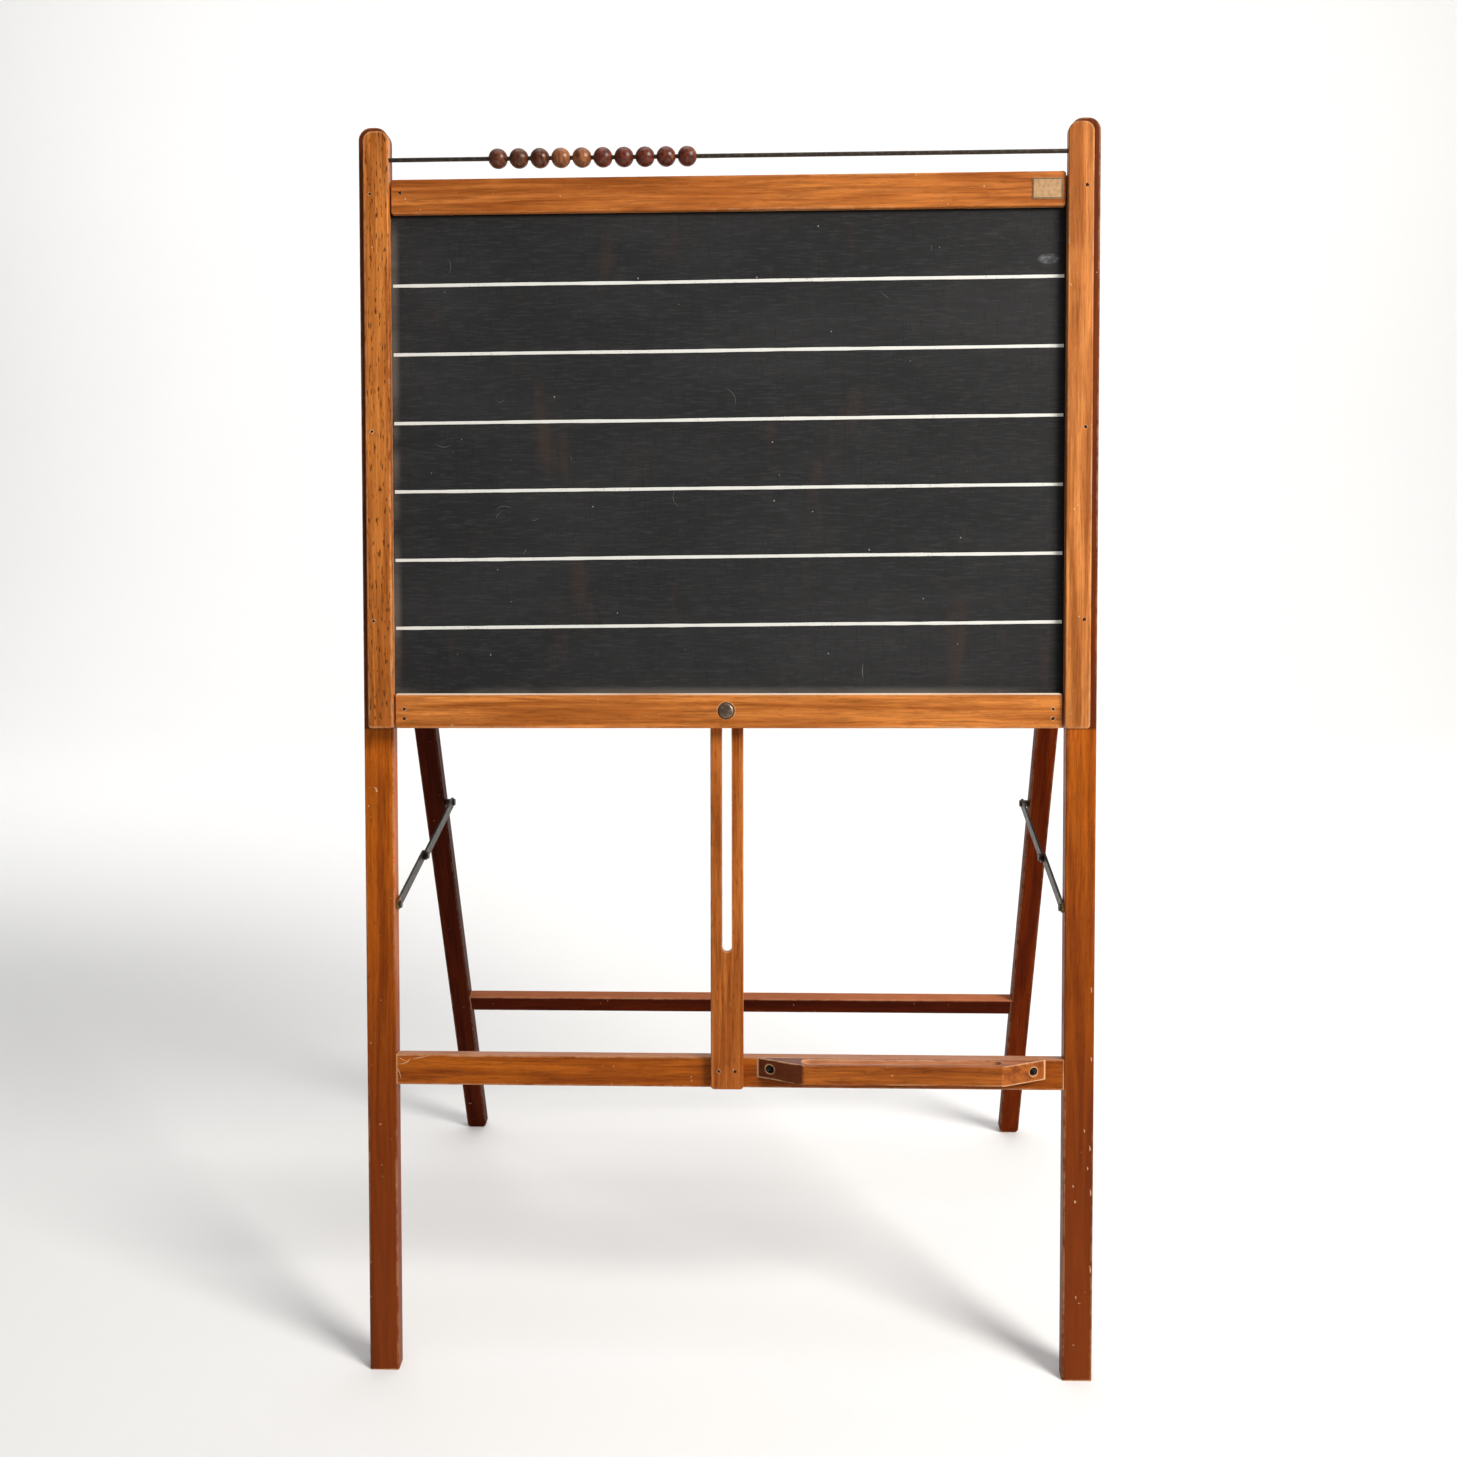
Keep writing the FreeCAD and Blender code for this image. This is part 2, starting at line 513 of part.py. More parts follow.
def build_crossings():
    """The front stretcher and the upper crossbar between the front legs."""
    for name, low, high, heights in (
            ("front_stretcher", "Dims.stretcher_low", "Layout.stretcher_top", FRONT_DOWELS[:2]),
            ("upper_crossbar", "Dims.crossbar_low", "Layout.crossbar_top", FRONT_DOWELS[2:])):
        piece = slab(name, "front", "0 - Layout.leg_inner", "Layout.leg_inner", low, high, "0",
                     "Dims.leg_depth")
        ease(piece, "edges", "Dims.edge_radius", lambda edge: is_along(edge, ALONG_X))
        spots = [("Dims.leg_depth / 2", height) for height in heights]
        for side, sign in SIDES:
            drill(piece, "dowels_" + side, "YZ_Plane", spots, "Dims.dowel_diameter / 2",
                  "Dims.dowel_bite", signed(sign, "Layout.leg_inner"), backwards=sign < 0)
        spots = [spot for spot in BAR_BRADS if name.split("_")[1] in spot[1]]
        drill(piece, "brads", "XZ_Plane", spots, "Dims.nail_diameter / 2", "Dims.nail_bite")
        if name == "front_stretcher":
            spots = [("Dims.tray_middle %s Layout.tray_screw_place" % mark, "Layout.tray_screw_height")
                     for mark in "-+"]
            drill(piece, "tray_screws", "XZ_Plane", spots, "Dims.screw_shank_diameter / 2",
                  "Dims.screw_bite")
    group("frame_dowels", rod("frame_dowel", [
        (signed(sign, "Layout.leg_inner") + " - Dims.dowel_bite", "Dims.leg_depth / 2", height)
        for side, sign in SIDES for height in FRONT_DOWELS],
        "Dims.dowel_diameter / 2", "Dims.dowel_bite * 2", "x"), "front")


def build_slotted_bar():
    bar = slab("slotted_bar", "front", "0 - Dims.bar_width / 2", "Dims.bar_width / 2",
               "Dims.stretcher_low", "Layout.crossbar_top", "0 - Dims.bar_thick", "Dims.bar_thick")
    ease(bar, "corners", "Dims.stile_foot_radius", lambda edge: is_along(edge, ALONG_Y))
    front = -value_of("Dims.bar_thick")
    ease(bar, "edges", "Dims.edge_radius", lambda edge: abs(edge.CenterOfMass.y - front) < 1e-3)
    slot = sketch_on(bar, "slot", "XZ_Plane")
    round_slot(slot, ("0", "Layout.slot_low"), ("0", "Layout.slot_high"), "Dims.slot_width / 2", True)
    pocket(bar, slot)
    sketch = sketch_on(bar, "brads", "XZ_Plane")
    for x, z in BAR_BRADS:
        circle(sketch, x, z, "Dims.nail_diameter / 2")
    pocket(bar, sketch)
    spots = [(x, "0 - Dims.bar_thick", z) for x, z in BAR_BRADS]
    group("bar_brads", rod("bar_brad", spots, "Dims.nail_diameter / 2",
                           "Dims.bar_thick + Dims.nail_bite", "y"), "front")


def build_stiles():
    nails = []
    for side, sign in SIDES:
        left, right = span(sign, "Layout.stile_inner", "Layout.stile_outer")
        stile = slab("stile_" + side, "front", left, right, "Dims.bottom_rail_low", "Dims.stile_top",
                     "Layout.stile_front", "Dims.stile_thick")
        top = value_of("Dims.stile_top")
        low = value_of("Dims.bottom_rail_low")
        ease(stile, "top", "Dims.stile_top_radius",
             lambda edge: is_along(edge, ALONG_Y) and abs(edge.CenterOfMass.z - top) < 1e-3)
        ease(stile, "foot", "Dims.stile_foot_radius",
             lambda edge: is_along(edge, ALONG_Y) and abs(edge.CenterOfMass.z - low) < 1e-3)
        front = value_of("Layout.stile_front")
        ease(stile, "edges", "Dims.edge_radius", lambda edge: abs(edge.CenterOfMass.y - front) < 1e-3)
        drill(stile, "rod_socket", "YZ_Plane", [("Layout.rod_depth", "Dims.rod_height")],
              "Dims.rod_diameter / 2", "Dims.rod_socket", signed(sign, "Layout.stile_inner"),
              backwards=sign > 0)
        left, right = span(sign, "Layout.spacer_inner", "Layout.spacer_outer")
        spacer = slab("stile_spacer_" + side, "front", left, right, "Layout.spacer_low",
                      "Layout.spacer_high", "Layout.stile_back", "0 - Layout.stile_back")
        middle = signed(sign, "(Layout.spacer_inner + Layout.spacer_outer) / 2")
        for piece in (stile, spacer):
            sketch = sketch_on(piece, "nails", "XZ_Plane")
            for height in STILE_NAILS:
                circle(sketch, middle, height, "Dims.nail_diameter / 2")
            pocket(piece, sketch)
        nails += [(middle, "Layout.stile_front", height) for height in STILE_NAILS]
    group("stile_nails", rod("stile_nail", nails, "Dims.nail_diameter / 2",
                             "0 - Layout.stile_front + Dims.nail_bite", "y"), "front")


def build_abacus():
    """The rod in its stile sockets, and the loose beads on it."""
    spots = [("0 - Layout.stile_inner - Dims.rod_socket", "Layout.rod_depth", "Dims.rod_height")]
    wire = rod("abacus_rod", spots, "Dims.rod_diameter / 2",
               "2 * (Layout.stile_inner + Dims.rod_socket)", "x")
    group("abacus_rod_set", wire, "front").Label = "abacus_rod"
    for number in range(1, BEADS + 1):
        bead = new_body("bead_%02d" % number, "front")
        half = "Dims.bead_length / 2"
        place = "Dims.first_bead_place + Dims.bead_pitch * %d" % (number - 1)
        bead.setExpression("Placement.Base.x", place)
        bead.setExpression("Placement.Base.y", "Layout.front_shift + Layout.rod_depth * cos(Dims.front_lean)"
                           " + Dims.rod_height * sin(Dims.front_lean)")
        bead.setExpression("Placement.Base.z", "Dims.rod_height * cos(Dims.front_lean)"
                           " - Layout.rod_depth * sin(Dims.front_lean)")
        sketch = sketch_on(bead, "ball", "XZ_Plane")
        ball = value_of("Dims.bead_diameter / 2")
        end = value_of(half)
        lift = (ball * ball - end * end) ** 0.5
        circle_of = Part.Circle(Vector(0, 0, 0), Vector(0, 0, 1), ball)
        start = Vector(end, lift, 0)
        arc = sketch.addGeometry(Part.ArcOfCircle(circle_of, circle_of.parameter(start),
                                                  circle_of.parameter(Vector(-end, lift, 0))))
        bore = value_of("Dims.rod_diameter / 2 + Dims.bead_clearance")
        corners = [Vector(-end, lift, 0), Vector(-end, bore, 0), Vector(end, bore, 0), start]
        lines = [sketch.addGeometry(Part.LineSegment(corners[step], corners[step + 1]))
                 for step in range(3)]
        for one, at_one, two, at_two in ((arc, 2, lines[0], 1), (lines[0], 2, lines[1], 1),
                                         (lines[1], 2, lines[2], 1), (lines[2], 2, arc, 1)):
            sketch.addConstraint(Sketcher.Constraint("Coincident", one, at_one, two, at_two))
        sketch.addConstraint(Sketcher.Constraint("Coincident", arc, 3, -1, 1))
        size = sketch.addConstraint(Sketcher.Constraint("Radius", arc, ball))
        sketch.setExpression("Constraints[%d]" % size, "Dims.bead_diameter / 2")
        pin_point(sketch, lines[1], 1, "0 - " + half, "Dims.rod_diameter / 2 + Dims.bead_clearance")
        pin_point(sketch, lines[1], 2, half, "Dims.rod_diameter / 2 + Dims.bead_clearance")
        sketch.addConstraint(Sketcher.Constraint("Vertical", lines[0]))
        sketch.addConstraint(Sketcher.Constraint("Vertical", lines[2]))
        revolve(bead, sketch, "H_Axis")


def screw(name, shank, bite, head, head_height, dome=True):
    """A screw along +Y of its frame: the head ahead of y = 0, the shank behind it."""
    piece = doc.addObject("Part::Cylinder", name + "_shank")
    piece.Placement = Placement(Vector(0, 0, 0), Rotation(ALONG_X, -90))
    piece.setExpression("Radius", shank)
    piece.setExpression("Height", bite)
    cap = doc.addObject("Part::Cone", name + "_head")
    cap.Placement = Placement(Vector(0, 0, 0), Rotation(ALONG_X, 90))
    cap.setExpression("Radius1", head)
    cap.setExpression("Radius2", "(%s) * 0.62" % head if dome else head)
    cap.setExpression("Height", head_height)
    whole = doc.addObject("Part::Fuse", name)
    whole.Base = piece
    whole.Tool = cap
    return whole


def put(piece, x, y, z, turn=None):
    """Bind a piece's place within its frame, with an optional turn."""
    if turn is not None:
        piece.Placement = Placement(Vector(0, 0, 0), turn)
    for letter, expression in zip("xyz", (x, y, z)):
        piece.setExpression("Placement.Base." + letter, expression)
    return piece


def build_chalk_tray():
    tray = new_body("chalk_tray", "front")
    plan = sketch_on(tray, "plan", "XY_Plane", "Layout.tray_low")
    outline(plan, [("Dims.tray_middle - Dims.tray_front_length / 2", "0 - Dims.tray_reach"),
                   ("Dims.tray_middle + Dims.tray_front_length / 2", "0 - Dims.tray_reach"),
                   ("Dims.tray_middle + Dims.tray_back_length / 2", "0"),
                   ("Dims.tray_middle - Dims.tray_back_length / 2", "0")])
    pad(tray, plan, "Dims.tray_height")
    front = value_of("0 - Dims.tray_reach")
    ease(tray, "edges", "Dims.edge_radius",
         lambda edge: is_along(edge, ALONG_X) and abs(edge.CenterOfMass.y - front) < 1e-3)
    trough = sketch_on(tray, "trough", "XY_Plane", "Layout.stretcher_top")
    reach = "Dims.trough_length / 2 - Dims.trough_width / 2"
    round_slot(trough, ("Dims.tray_middle - (%s)" % reach, "Layout.trough_middle"),
               ("Dims.tray_middle + (%s)" % reach, "Layout.trough_middle"),
               "Dims.trough_width / 2", False)
    pocket(tray, trough, "Dims.trough_depth")
    floor = value_of("Layout.stretcher_top - Dims.trough_depth")
    ease(tray, "trough_floor", "Dims.trough_width * 0.36",
         lambda edge: abs(edge.CenterOfMass.z - floor) < 1e-3)
    places = ["Dims.tray_middle %s Layout.tray_screw_place" % mark for mark in "-+"]
    sketch = sketch_on(tray, "shanks", "XZ_Plane")
    for x in places:
        circle(sketch, x, "Layout.tray_screw_height", "Dims.screw_shank_diameter / 2")
    pocket(tray, sketch)
    drill(tray, "seats", "XZ_Plane", [(x, "Layout.tray_screw_height") for x in places],
          "Dims.screw_head_diameter / 2 + Dims.seat_clearance", "Dims.tray_reach",
          "Dims.tray_screw_seat", backwards=True)
    screws = []
    for number, x in enumerate(places, 1):
        piece = screw("tray_screw_%d" % number, "Dims.screw_shank_diameter / 2",
                      "Dims.tray_screw_seat + Dims.screw_bite", "Dims.screw_head_diameter / 2",
                      "Dims.screw_head_height")
        screws.append(put(piece, x, "0 - Dims.tray_screw_seat", "Layout.tray_screw_height"))
    group("tray_screws", screws, "front")


def build_board():
    """The sliding board: two rails, the blackboard, battens, bolt, washer and plate."""
    for name, low, high in (("top_rail", "Dims.top_rail_low", "Layout.top_rail_top"),
                            ("bottom_rail", "Dims.bottom_rail_low", "Layout.bottom_rail_top")):
        rail = slab(name, "front", "0 - Layout.rail_end", "Layout.rail_end", low, high,
                    "Layout.rail_front", "Dims.rail_thick")
        ease(rail, "corners", "Dims.rail_corner_radius", lambda edge: is_along(edge, ALONG_Y))
        front = value_of("Layout.rail_front")
        ease(rail, "edges", "Dims.edge_radius", lambda edge: abs(edge.CenterOfMass.y - front) < 1e-3)
        groove = sketch_on(rail, "groove", "YZ_Plane")
        start = "Layout.panel_low" if name == "bottom_rail" else low + " - Dims.groove_depth"
        finish = "Layout.panel_high" if name == "top_rail" else high + " + Dims.groove_depth"
        box_outline(groove, "Layout.panel_front - Dims.groove_clearance",
                    "Layout.panel_back + Dims.groove_clearance", start, finish)
        pocket(rail, groove)
        spots = [(signed(sign, "Layout.rail_nail_place"), height) for side, sign in SIDES
                 for height in RAIL_NAILS if name in height]
        nail_sketch = sketch_on(rail, "nails", "XZ_Plane")
        for x, z in spots:
            circle(nail_sketch, x, z, "Dims.nail_diameter / 2")
        pocket(rail, nail_sketch)
        if name == "bottom_rail":
            bolt_spot = [("0", "Layout.bolt_height")]
            drill(rail, "recess", "XZ_Plane", bolt_spot, "Dims.bolt_head_diameter / 2 + Dims.seat_clearance",
                  "Dims.bolt_recess", "0 - Layout.rail_front")
            drill(rail, "bolt_hole", "XZ_Plane", bolt_spot, "Dims.bolt_diameter / 2",
                  "2 * Dims.rail_thick", "0 - Layout.rail_front")
    slab("blackboard", "front", "0 - Layout.board_edge", "Layout.board_edge", "Layout.panel_low",
         "Layout.panel_high", "Layout.panel_front", "Dims.panel_thick")
    depth = "0 - Layout.rail_back - Dims.batten_gap"
    for side, sign in SIDES:
        left, right = span(sign, "Layout.batten_inner", "Layout.board_edge")
        batten = slab("board_batten_" + side, "front", left, right, "Dims.bottom_rail_low",
                      "Layout.top_rail_top", "Layout.rail_back", depth)
        spots = [(signed(sign, "Layout.rail_nail_place"), height) for height in RAIL_NAILS]
        drill(batten, "nails", "XZ_Plane", spots, "Dims.nail_diameter / 2",
              "(%s) * 0.8" % depth, "0 - Layout.rail_back")
    spots = [(signed(sign, "Layout.rail_nail_place"), "Layout.rail_front", height)
             for side, sign in SIDES for height in RAIL_NAILS]
    group("board_nails", rod("board_nail", spots, "Dims.nail_diameter / 2",
                             "Dims.rail_thick + (%s) * 0.8" % depth, "y"), "front")
    slab("label_plate", "front", "Layout.rail_end - Dims.plate_inset - Dims.plate_width",
         "Layout.rail_end - Dims.plate_inset",
         "(Dims.top_rail_low + Layout.top_rail_top) / 2 - Dims.plate_height / 2",
         "(Dims.top_rail_low + Layout.top_rail_top) / 2 + Dims.plate_height / 2",
         "Layout.rail_front - Dims.plate_thick", "Dims.plate_thick")


def build_clamp():
    """The carriage bolt through the bottom rail, its washer and its wing nut."""
    bolt = new_body("carriage_bolt", "front")
    seat = "Layout.rail_front + Dims.bolt_recess"
    shank = sketch_on(bolt, "shank", "XZ_Plane", "0 - (%s)" % seat)
    circle(shank, "0", "Layout.bolt_height", "Dims.bolt_diameter / 2")
    pad(bolt, shank, "0 - (%s) + Layout.nut_front + Dims.nut_length + Dims.bolt_tail" % seat,
        backwards=True)
    head = sketch_on(bolt, "head", "XZ_Plane", "0 - (%s)" % seat)
    circle(head, "0", "Layout.bolt_height", "Dims.bolt_head_diameter / 2")
    pad(bolt, head, "Dims.bolt_head_height")
    crown = value_of("%s - Dims.bolt_head_height" % seat)
    ease(bolt, "crown", "Dims.bolt_head_height * 0.92",
         lambda edge: abs(edge.CenterOfMass.y - crown) < 1e-3)
    washer = new_body("washer", "front")
    ring = sketch_on(washer, "ring", "XZ_Plane", "0 - Dims.washer_clearance")
    circle(ring, "0", "Layout.bolt_height", "Dims.washer_diameter / 2")
    circle(ring, "0", "Layout.bolt_height", "Dims.bolt_diameter / 2")
    pad(washer, ring, "Dims.washer_thick", backwards=True)
    nut = new_body("wing_nut", "front")
    hub = sketch_on(nut, "hub", "XZ_Plane", "0 - Layout.nut_front")
    circle(hub, "0", "Layout.bolt_height", "Dims.nut_hub_diameter / 2")
    pad(nut, hub, "Dims.nut_length", backwards=True)
    wings = sketch_on(nut, "wings", "XY_Plane", "Layout.bolt_height")
    tip = "Dims.wing_span / 2"
    back = "Layout.nut_front + Dims.wing_rise"
    for sign in (-1, 1):
        near = signed(sign, "Dims.nut_hub_diameter / 4")
        far = signed(sign, tip)
        shoulder = signed(sign, tip + " * 0.86")
        outline(wings, [(near, "Layout.nut_front + Dims.wing_thick"), (shoulder, back), (far, back),
                        (far, back + " + Dims.wing_thick * 2"), (near, back + " - Dims.wing_thick")])
    pad(nut, wings, "Dims.wing_thick", both_ways=True)
    bore = sketch_on(nut, "bore", "XZ_Plane")
    circle(bore, "0", "Layout.bolt_height", "Dims.bolt_diameter / 2 + Dims.nut_clearance")
    pocket(nut, bore)


def build_rear_frame():
    foot_slope = math.radians(value_of("Layout.rear_lean"))
    for side, sign in SIDES:
        left, right = span(sign, "Layout.rear_leg_inner", "Layout.leg_centre + Dims.rear_leg_width / 2")
        leg = slab("rear_leg_" + side, "rear", left, right, "0 - Layout.rear_foot_back", "0",
                   "Layout.rear_front_face", "Dims.rear_leg_depth")
        ease(leg, "top", "Dims.rear_leg_top_radius",
             lambda edge: is_along(edge, ALONG_Y) and abs(edge.CenterOfMass.z) < 1e-3)
        foot = sketch_on(leg, "foot", "YZ_Plane")
        outline(foot, [("Layout.rear_front_face", "0 - Layout.rear_foot_front"),
                       ("Layout.rear_back_face", "0 - Layout.rear_foot_back"),
                       ("Layout.rear_front_face", "0 - Layout.rear_foot_back - Dims.rear_leg_depth")])
        pocket(leg, foot)
        along_foot = Vector(0, math.cos(foot_slope), -math.sin(foot_slope))
        ease(leg, "foot_corners", "Dims.rear_foot_radius", lambda edge: is_along(edge, along_foot))
        ease(leg, "edges", "Dims.edge_radius", lambda edge: is_along(edge, ALONG_Z))
        centre = signed(sign, "Layout.leg_centre")
        spots = [(centre, "0 - (%s)" % step) for step in LEAF_SCREWS]
        drill(leg, "leaf_holes", "XZ_Plane", spots, "Dims.leaf_screw_diameter / 2",
              "Dims.leaf_screw_bite", "0 - Layout.rear_front_face")
        drill(leg, "dowel_hole", "YZ_Plane",
              [("Layout.rear_front_face + Dims.rear_stretcher_depth / 2", REAR_DOWEL)],
              "Dims.dowel_diameter / 2", "Dims.dowel_bite", signed(sign, "Layout.rear_leg_inner"),
              backwards=sign > 0)
    low = "0 - Dims.rear_stretcher_drop"
    bar = slab("rear_stretcher", "rear", "0 - Layout.rear_leg_inner", "Layout.rear_leg_inner", low,
               low + " + Dims.rear_stretcher_height", "Layout.rear_front_face", "Dims.rear_stretcher_depth")
    ease(bar, "edges", "Dims.edge_radius", lambda edge: is_along(edge, ALONG_X))
    spot = ("Layout.rear_front_face + Dims.rear_stretcher_depth / 2", REAR_DOWEL)
    for side, sign in SIDES:
        drill(bar, "dowel_" + side, "YZ_Plane", [spot], "Dims.dowel_diameter / 2", "Dims.dowel_bite",
              signed(sign, "Layout.rear_leg_inner"), backwards=sign < 0)
    group("rear_dowels", rod("rear_dowel", [
        (signed(sign, "Layout.rear_leg_inner") + " - Dims.dowel_bite",) + spot for side, sign in SIDES],
        "Dims.dowel_diameter / 2", "Dims.dowel_bite * 2", "x"), "rear")


def leaf(name, frame, centre, axis_depth, axis_height, face, up, knuckles, hole):
    """A hinge leaf: a plate on the wood, webs and knuckles round the pin."""
    body = new_body(name, frame)
    half = "Dims.hinge_width / 2"
    clear = "Dims.knuckle_radius + Dims.knuckle_gap * 2"
    near = "%s %s (%s)" % (axis_height, up, clear)
    far = "%s %s Dims.leaf_length" % (axis_height, up)
    plate = sketch_on(body, "plate", "XZ_Plane", "0 - (%s)" % face)
    box_outline(plate, "%s - %s" % (centre, half), "%s + %s" % (centre, half), near, far)
    pad(body, plate, "Dims.leaf_thick", backwards=True)
    for number, (start, finish) in enumerate(knuckles, 1):
        offset = "(%s) + (%s)" % (centre, start)
        length = "(%s) - (%s)" % (finish, start)
        web = sketch_on(body, "web_%d" % number, "YZ_Plane", offset)
        box_outline(web, face, "%s + Dims.leaf_thick" % face, axis_height, near)
        pad(body, web, length)
        ring = sketch_on(body, "knuckle_%d" % number, "YZ_Plane", offset)
        circle(ring, axis_depth, axis_height, "Dims.knuckle_radius")
        pad(body, ring, length)
    bore = sketch_on(body, "pin_hole", "YZ_Plane")
    circle(bore, axis_depth, axis_height, hole)
    pocket(body, bore)
    screws = sketch_on(body, "screw_holes", "XZ_Plane")
    for step in LEAF_SCREWS:
        circle(screws, centre, "%s %s (%s)" % (axis_height, up, step), "Dims.leaf_screw_diameter / 2")
    pocket(body, screws)
    return body


def build_hinges():
    half = "Dims.hinge_width / 2"
    middle = "Dims.middle_knuckle / 2"
    outer = middle + " + Dims.knuckle_side_gap"
    pins, front_screws, rear_screws = [], [], []
    for side, sign in SIDES:
        centre = signed(sign, "Layout.leg_centre")
        leaf("hinge_leaf_front_" + side, "front", centre, "Layout.hinge_depth", "Dims.hinge_height",
             "Dims.leg_depth", "+", [("0 - " + half, "0 - (%s)" % outer), (outer, half)],
             "Dims.pin_diameter / 2")
        leaf("hinge_leaf_rear_" + side, "rear", centre, "0", "0",
             "Layout.rear_front_face - Dims.leaf_thick", "-", [("0 - " + middle, middle)],
             "Dims.pin_diameter / 2 + Dims.pin_clearance")
        pins.append(("%s - %s" % (centre, half), "Layout.hinge_depth", "Dims.hinge_height"))
        for number, step in enumerate(LEAF_SCREWS, 1):
            piece = screw("front_leaf_screw_%s_%d" % (side, number), "Dims.leaf_screw_diameter / 2",
                          "Dims.leaf_thick + Dims.leaf_screw_bite", "Dims.leaf_screw_head / 2",
                          "Dims.leaf_thick")
            front_screws.append(put(piece, centre, "Dims.leg_depth + Dims.leaf_thick",
                                    "Dims.hinge_height + " + step, Rotation(ALONG_Z, 180)))
            piece = screw("rear_leaf_screw_%s_%d" % (side, number), "Dims.leaf_screw_diameter / 2",
                          "Dims.leaf_thick + Dims.leaf_screw_bite", "Dims.leaf_screw_head / 2",
                          "Dims.leaf_thick")
            rear_screws.append(put(piece, centre, "Layout.rear_front_face - Dims.leaf_thick",
                                   "0 - (%s)" % step))
    group("hinge_pins", rod("hinge_pin", pins, "Dims.pin_diameter / 2", "Dims.hinge_width", "x"), "front")
    group("hinge_screws_front", front_screws, "front")
    group("hinge_screws_rear", rear_screws, "rear")


def stay_link(name, sign, start, length, face):
    """A flat link along its own +Y, with a hole at each end."""
    body = new_body(name, "stay")
    inside = "%s - Dims.stay_thick" % face
    offset = inside if sign > 0 else "0 - (%s)" % face
    strip = sketch_on(body, "strip", "YZ_Plane", offset)
    round_slot(strip, (start, "0"), ("%s + %s" % (start, length), "0"), "Dims.stay_width / 2", False)
    pad(body, strip, "Dims.stay_thick")
    return body


def stay_pin(name, sign, place, parts):
    """A headed pin made of round steps along X: each step is radius, from, to."""
    body = new_body(name, "stay")
    for number, (radius, start, finish) in enumerate(parts, 1):
        offset = start if sign > 0 else "0 - (%s)" % finish
        step = sketch_on(body, "step_%d" % number, "YZ_Plane", offset)
        circle(step, place, "0", radius)
        pad(body, step, "(%s) - (%s)" % (finish, start))
    return body


def build_stays():
    pin = "Dims.stay_pin_diameter / 2"
    loose = pin + " + Dims.stay_pin_clearance"
    head = "Dims.stay_head_diameter / 2"
    for side, sign in SIDES:
        front = stay_link("stay_front_link_" + side, sign, "0", "Layout.front_link",
                          "Layout.front_link_face")
        holes = sketch_on(front, "holes", "YZ_Plane")
        circle(holes, "0", "0", loose)
        circle(holes, "Layout.front_link", "0", pin)
        pocket(front, holes)
        rear = stay_link("stay_rear_link_" + side, sign, "Layout.front_link", "Layout.rear_link",
                         "Layout.rear_link_face")
        holes = sketch_on(rear, "holes", "YZ_Plane")
        circle(holes, "Layout.front_link", "0", loose)
        circle(holes, "Layout.front_link + Layout.rear_link", "0", pin)
        pocket(rear, holes)
        clear = "Layout.front_link_face - Dims.stay_thick - Dims.stay_gap"
        stay_pin("stay_front_screw_" + side, sign, "0",
                 [(pin, clear, "Layout.leg_inner + Dims.stay_screw_bite"),
                  (head, clear + " - Dims.stay_head_height", clear)])
        clear = "Layout.rear_link_inside - Dims.stay_gap"
        stay_pin("stay_knee_rivet_" + side, sign, "Layout.front_link",
                 [(pin, clear, "Layout.front_link_face"), (head, clear + " - Dims.stay_head_height", clear)])
        inside = "Layout.rear_link_inside"
        stay_pin("stay_rear_screw_" + side, sign, "Layout.front_link + Layout.rear_link",
                 [(pin, inside, "Layout.rear_link_face"),
                  (head, "Layout.rear_link_face", "Layout.rear_leg_inner - Dims.stay_gap"),
                  (head, inside + " - Dims.stay_head_height", inside)])


build_front_legs()
build_crossings()
build_slotted_bar()
build_stiles()
build_abacus()
build_chalk_tray()
build_board()
build_clamp()
build_rear_frame()
build_hinges()
build_stays()
doc.recompute()

for item in doc.Objects:
    if "Invalid" in item.State or "Error" in item.State:
        raise ValueError("%s did not recompute" % item.Name)
for node in nodes:
    if node.Shape.isNull() or not node.Shape.isValid() or not node.Shape.Solids:
        raise ValueError("%s has no sound solid" % node.Label)

os.makedirs("parts", exist_ok=True)
for node in nodes:
    node.Shape.exportStep("parts/%s.step" % node.Label)
print("%d nodes" % len(nodes))
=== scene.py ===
"""Looks of a worn wooden kids easel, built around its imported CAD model."""
import json
import math
import random

import bmesh
import bpy
from mathutils import Matrix, Vector, noise


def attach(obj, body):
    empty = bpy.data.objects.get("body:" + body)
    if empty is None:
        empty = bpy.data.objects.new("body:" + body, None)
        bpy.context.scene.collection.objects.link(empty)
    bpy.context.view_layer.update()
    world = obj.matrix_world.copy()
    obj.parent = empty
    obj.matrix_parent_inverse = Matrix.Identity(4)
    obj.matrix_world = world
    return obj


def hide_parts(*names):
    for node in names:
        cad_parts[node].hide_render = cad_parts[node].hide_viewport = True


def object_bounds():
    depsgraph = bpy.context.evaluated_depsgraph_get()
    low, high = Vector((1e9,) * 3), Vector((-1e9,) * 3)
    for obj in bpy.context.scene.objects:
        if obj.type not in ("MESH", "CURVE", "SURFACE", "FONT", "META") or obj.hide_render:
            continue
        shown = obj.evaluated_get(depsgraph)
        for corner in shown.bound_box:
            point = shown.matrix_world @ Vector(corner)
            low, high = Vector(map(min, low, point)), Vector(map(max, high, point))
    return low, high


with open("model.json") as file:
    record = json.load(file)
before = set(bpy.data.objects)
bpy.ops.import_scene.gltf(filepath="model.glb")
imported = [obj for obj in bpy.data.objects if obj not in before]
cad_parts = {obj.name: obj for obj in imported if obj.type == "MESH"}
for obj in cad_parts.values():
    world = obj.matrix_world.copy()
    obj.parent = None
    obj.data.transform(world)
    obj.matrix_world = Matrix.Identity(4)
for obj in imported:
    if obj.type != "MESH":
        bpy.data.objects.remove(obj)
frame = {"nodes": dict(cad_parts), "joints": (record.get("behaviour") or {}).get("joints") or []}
nodes = frame["nodes"]
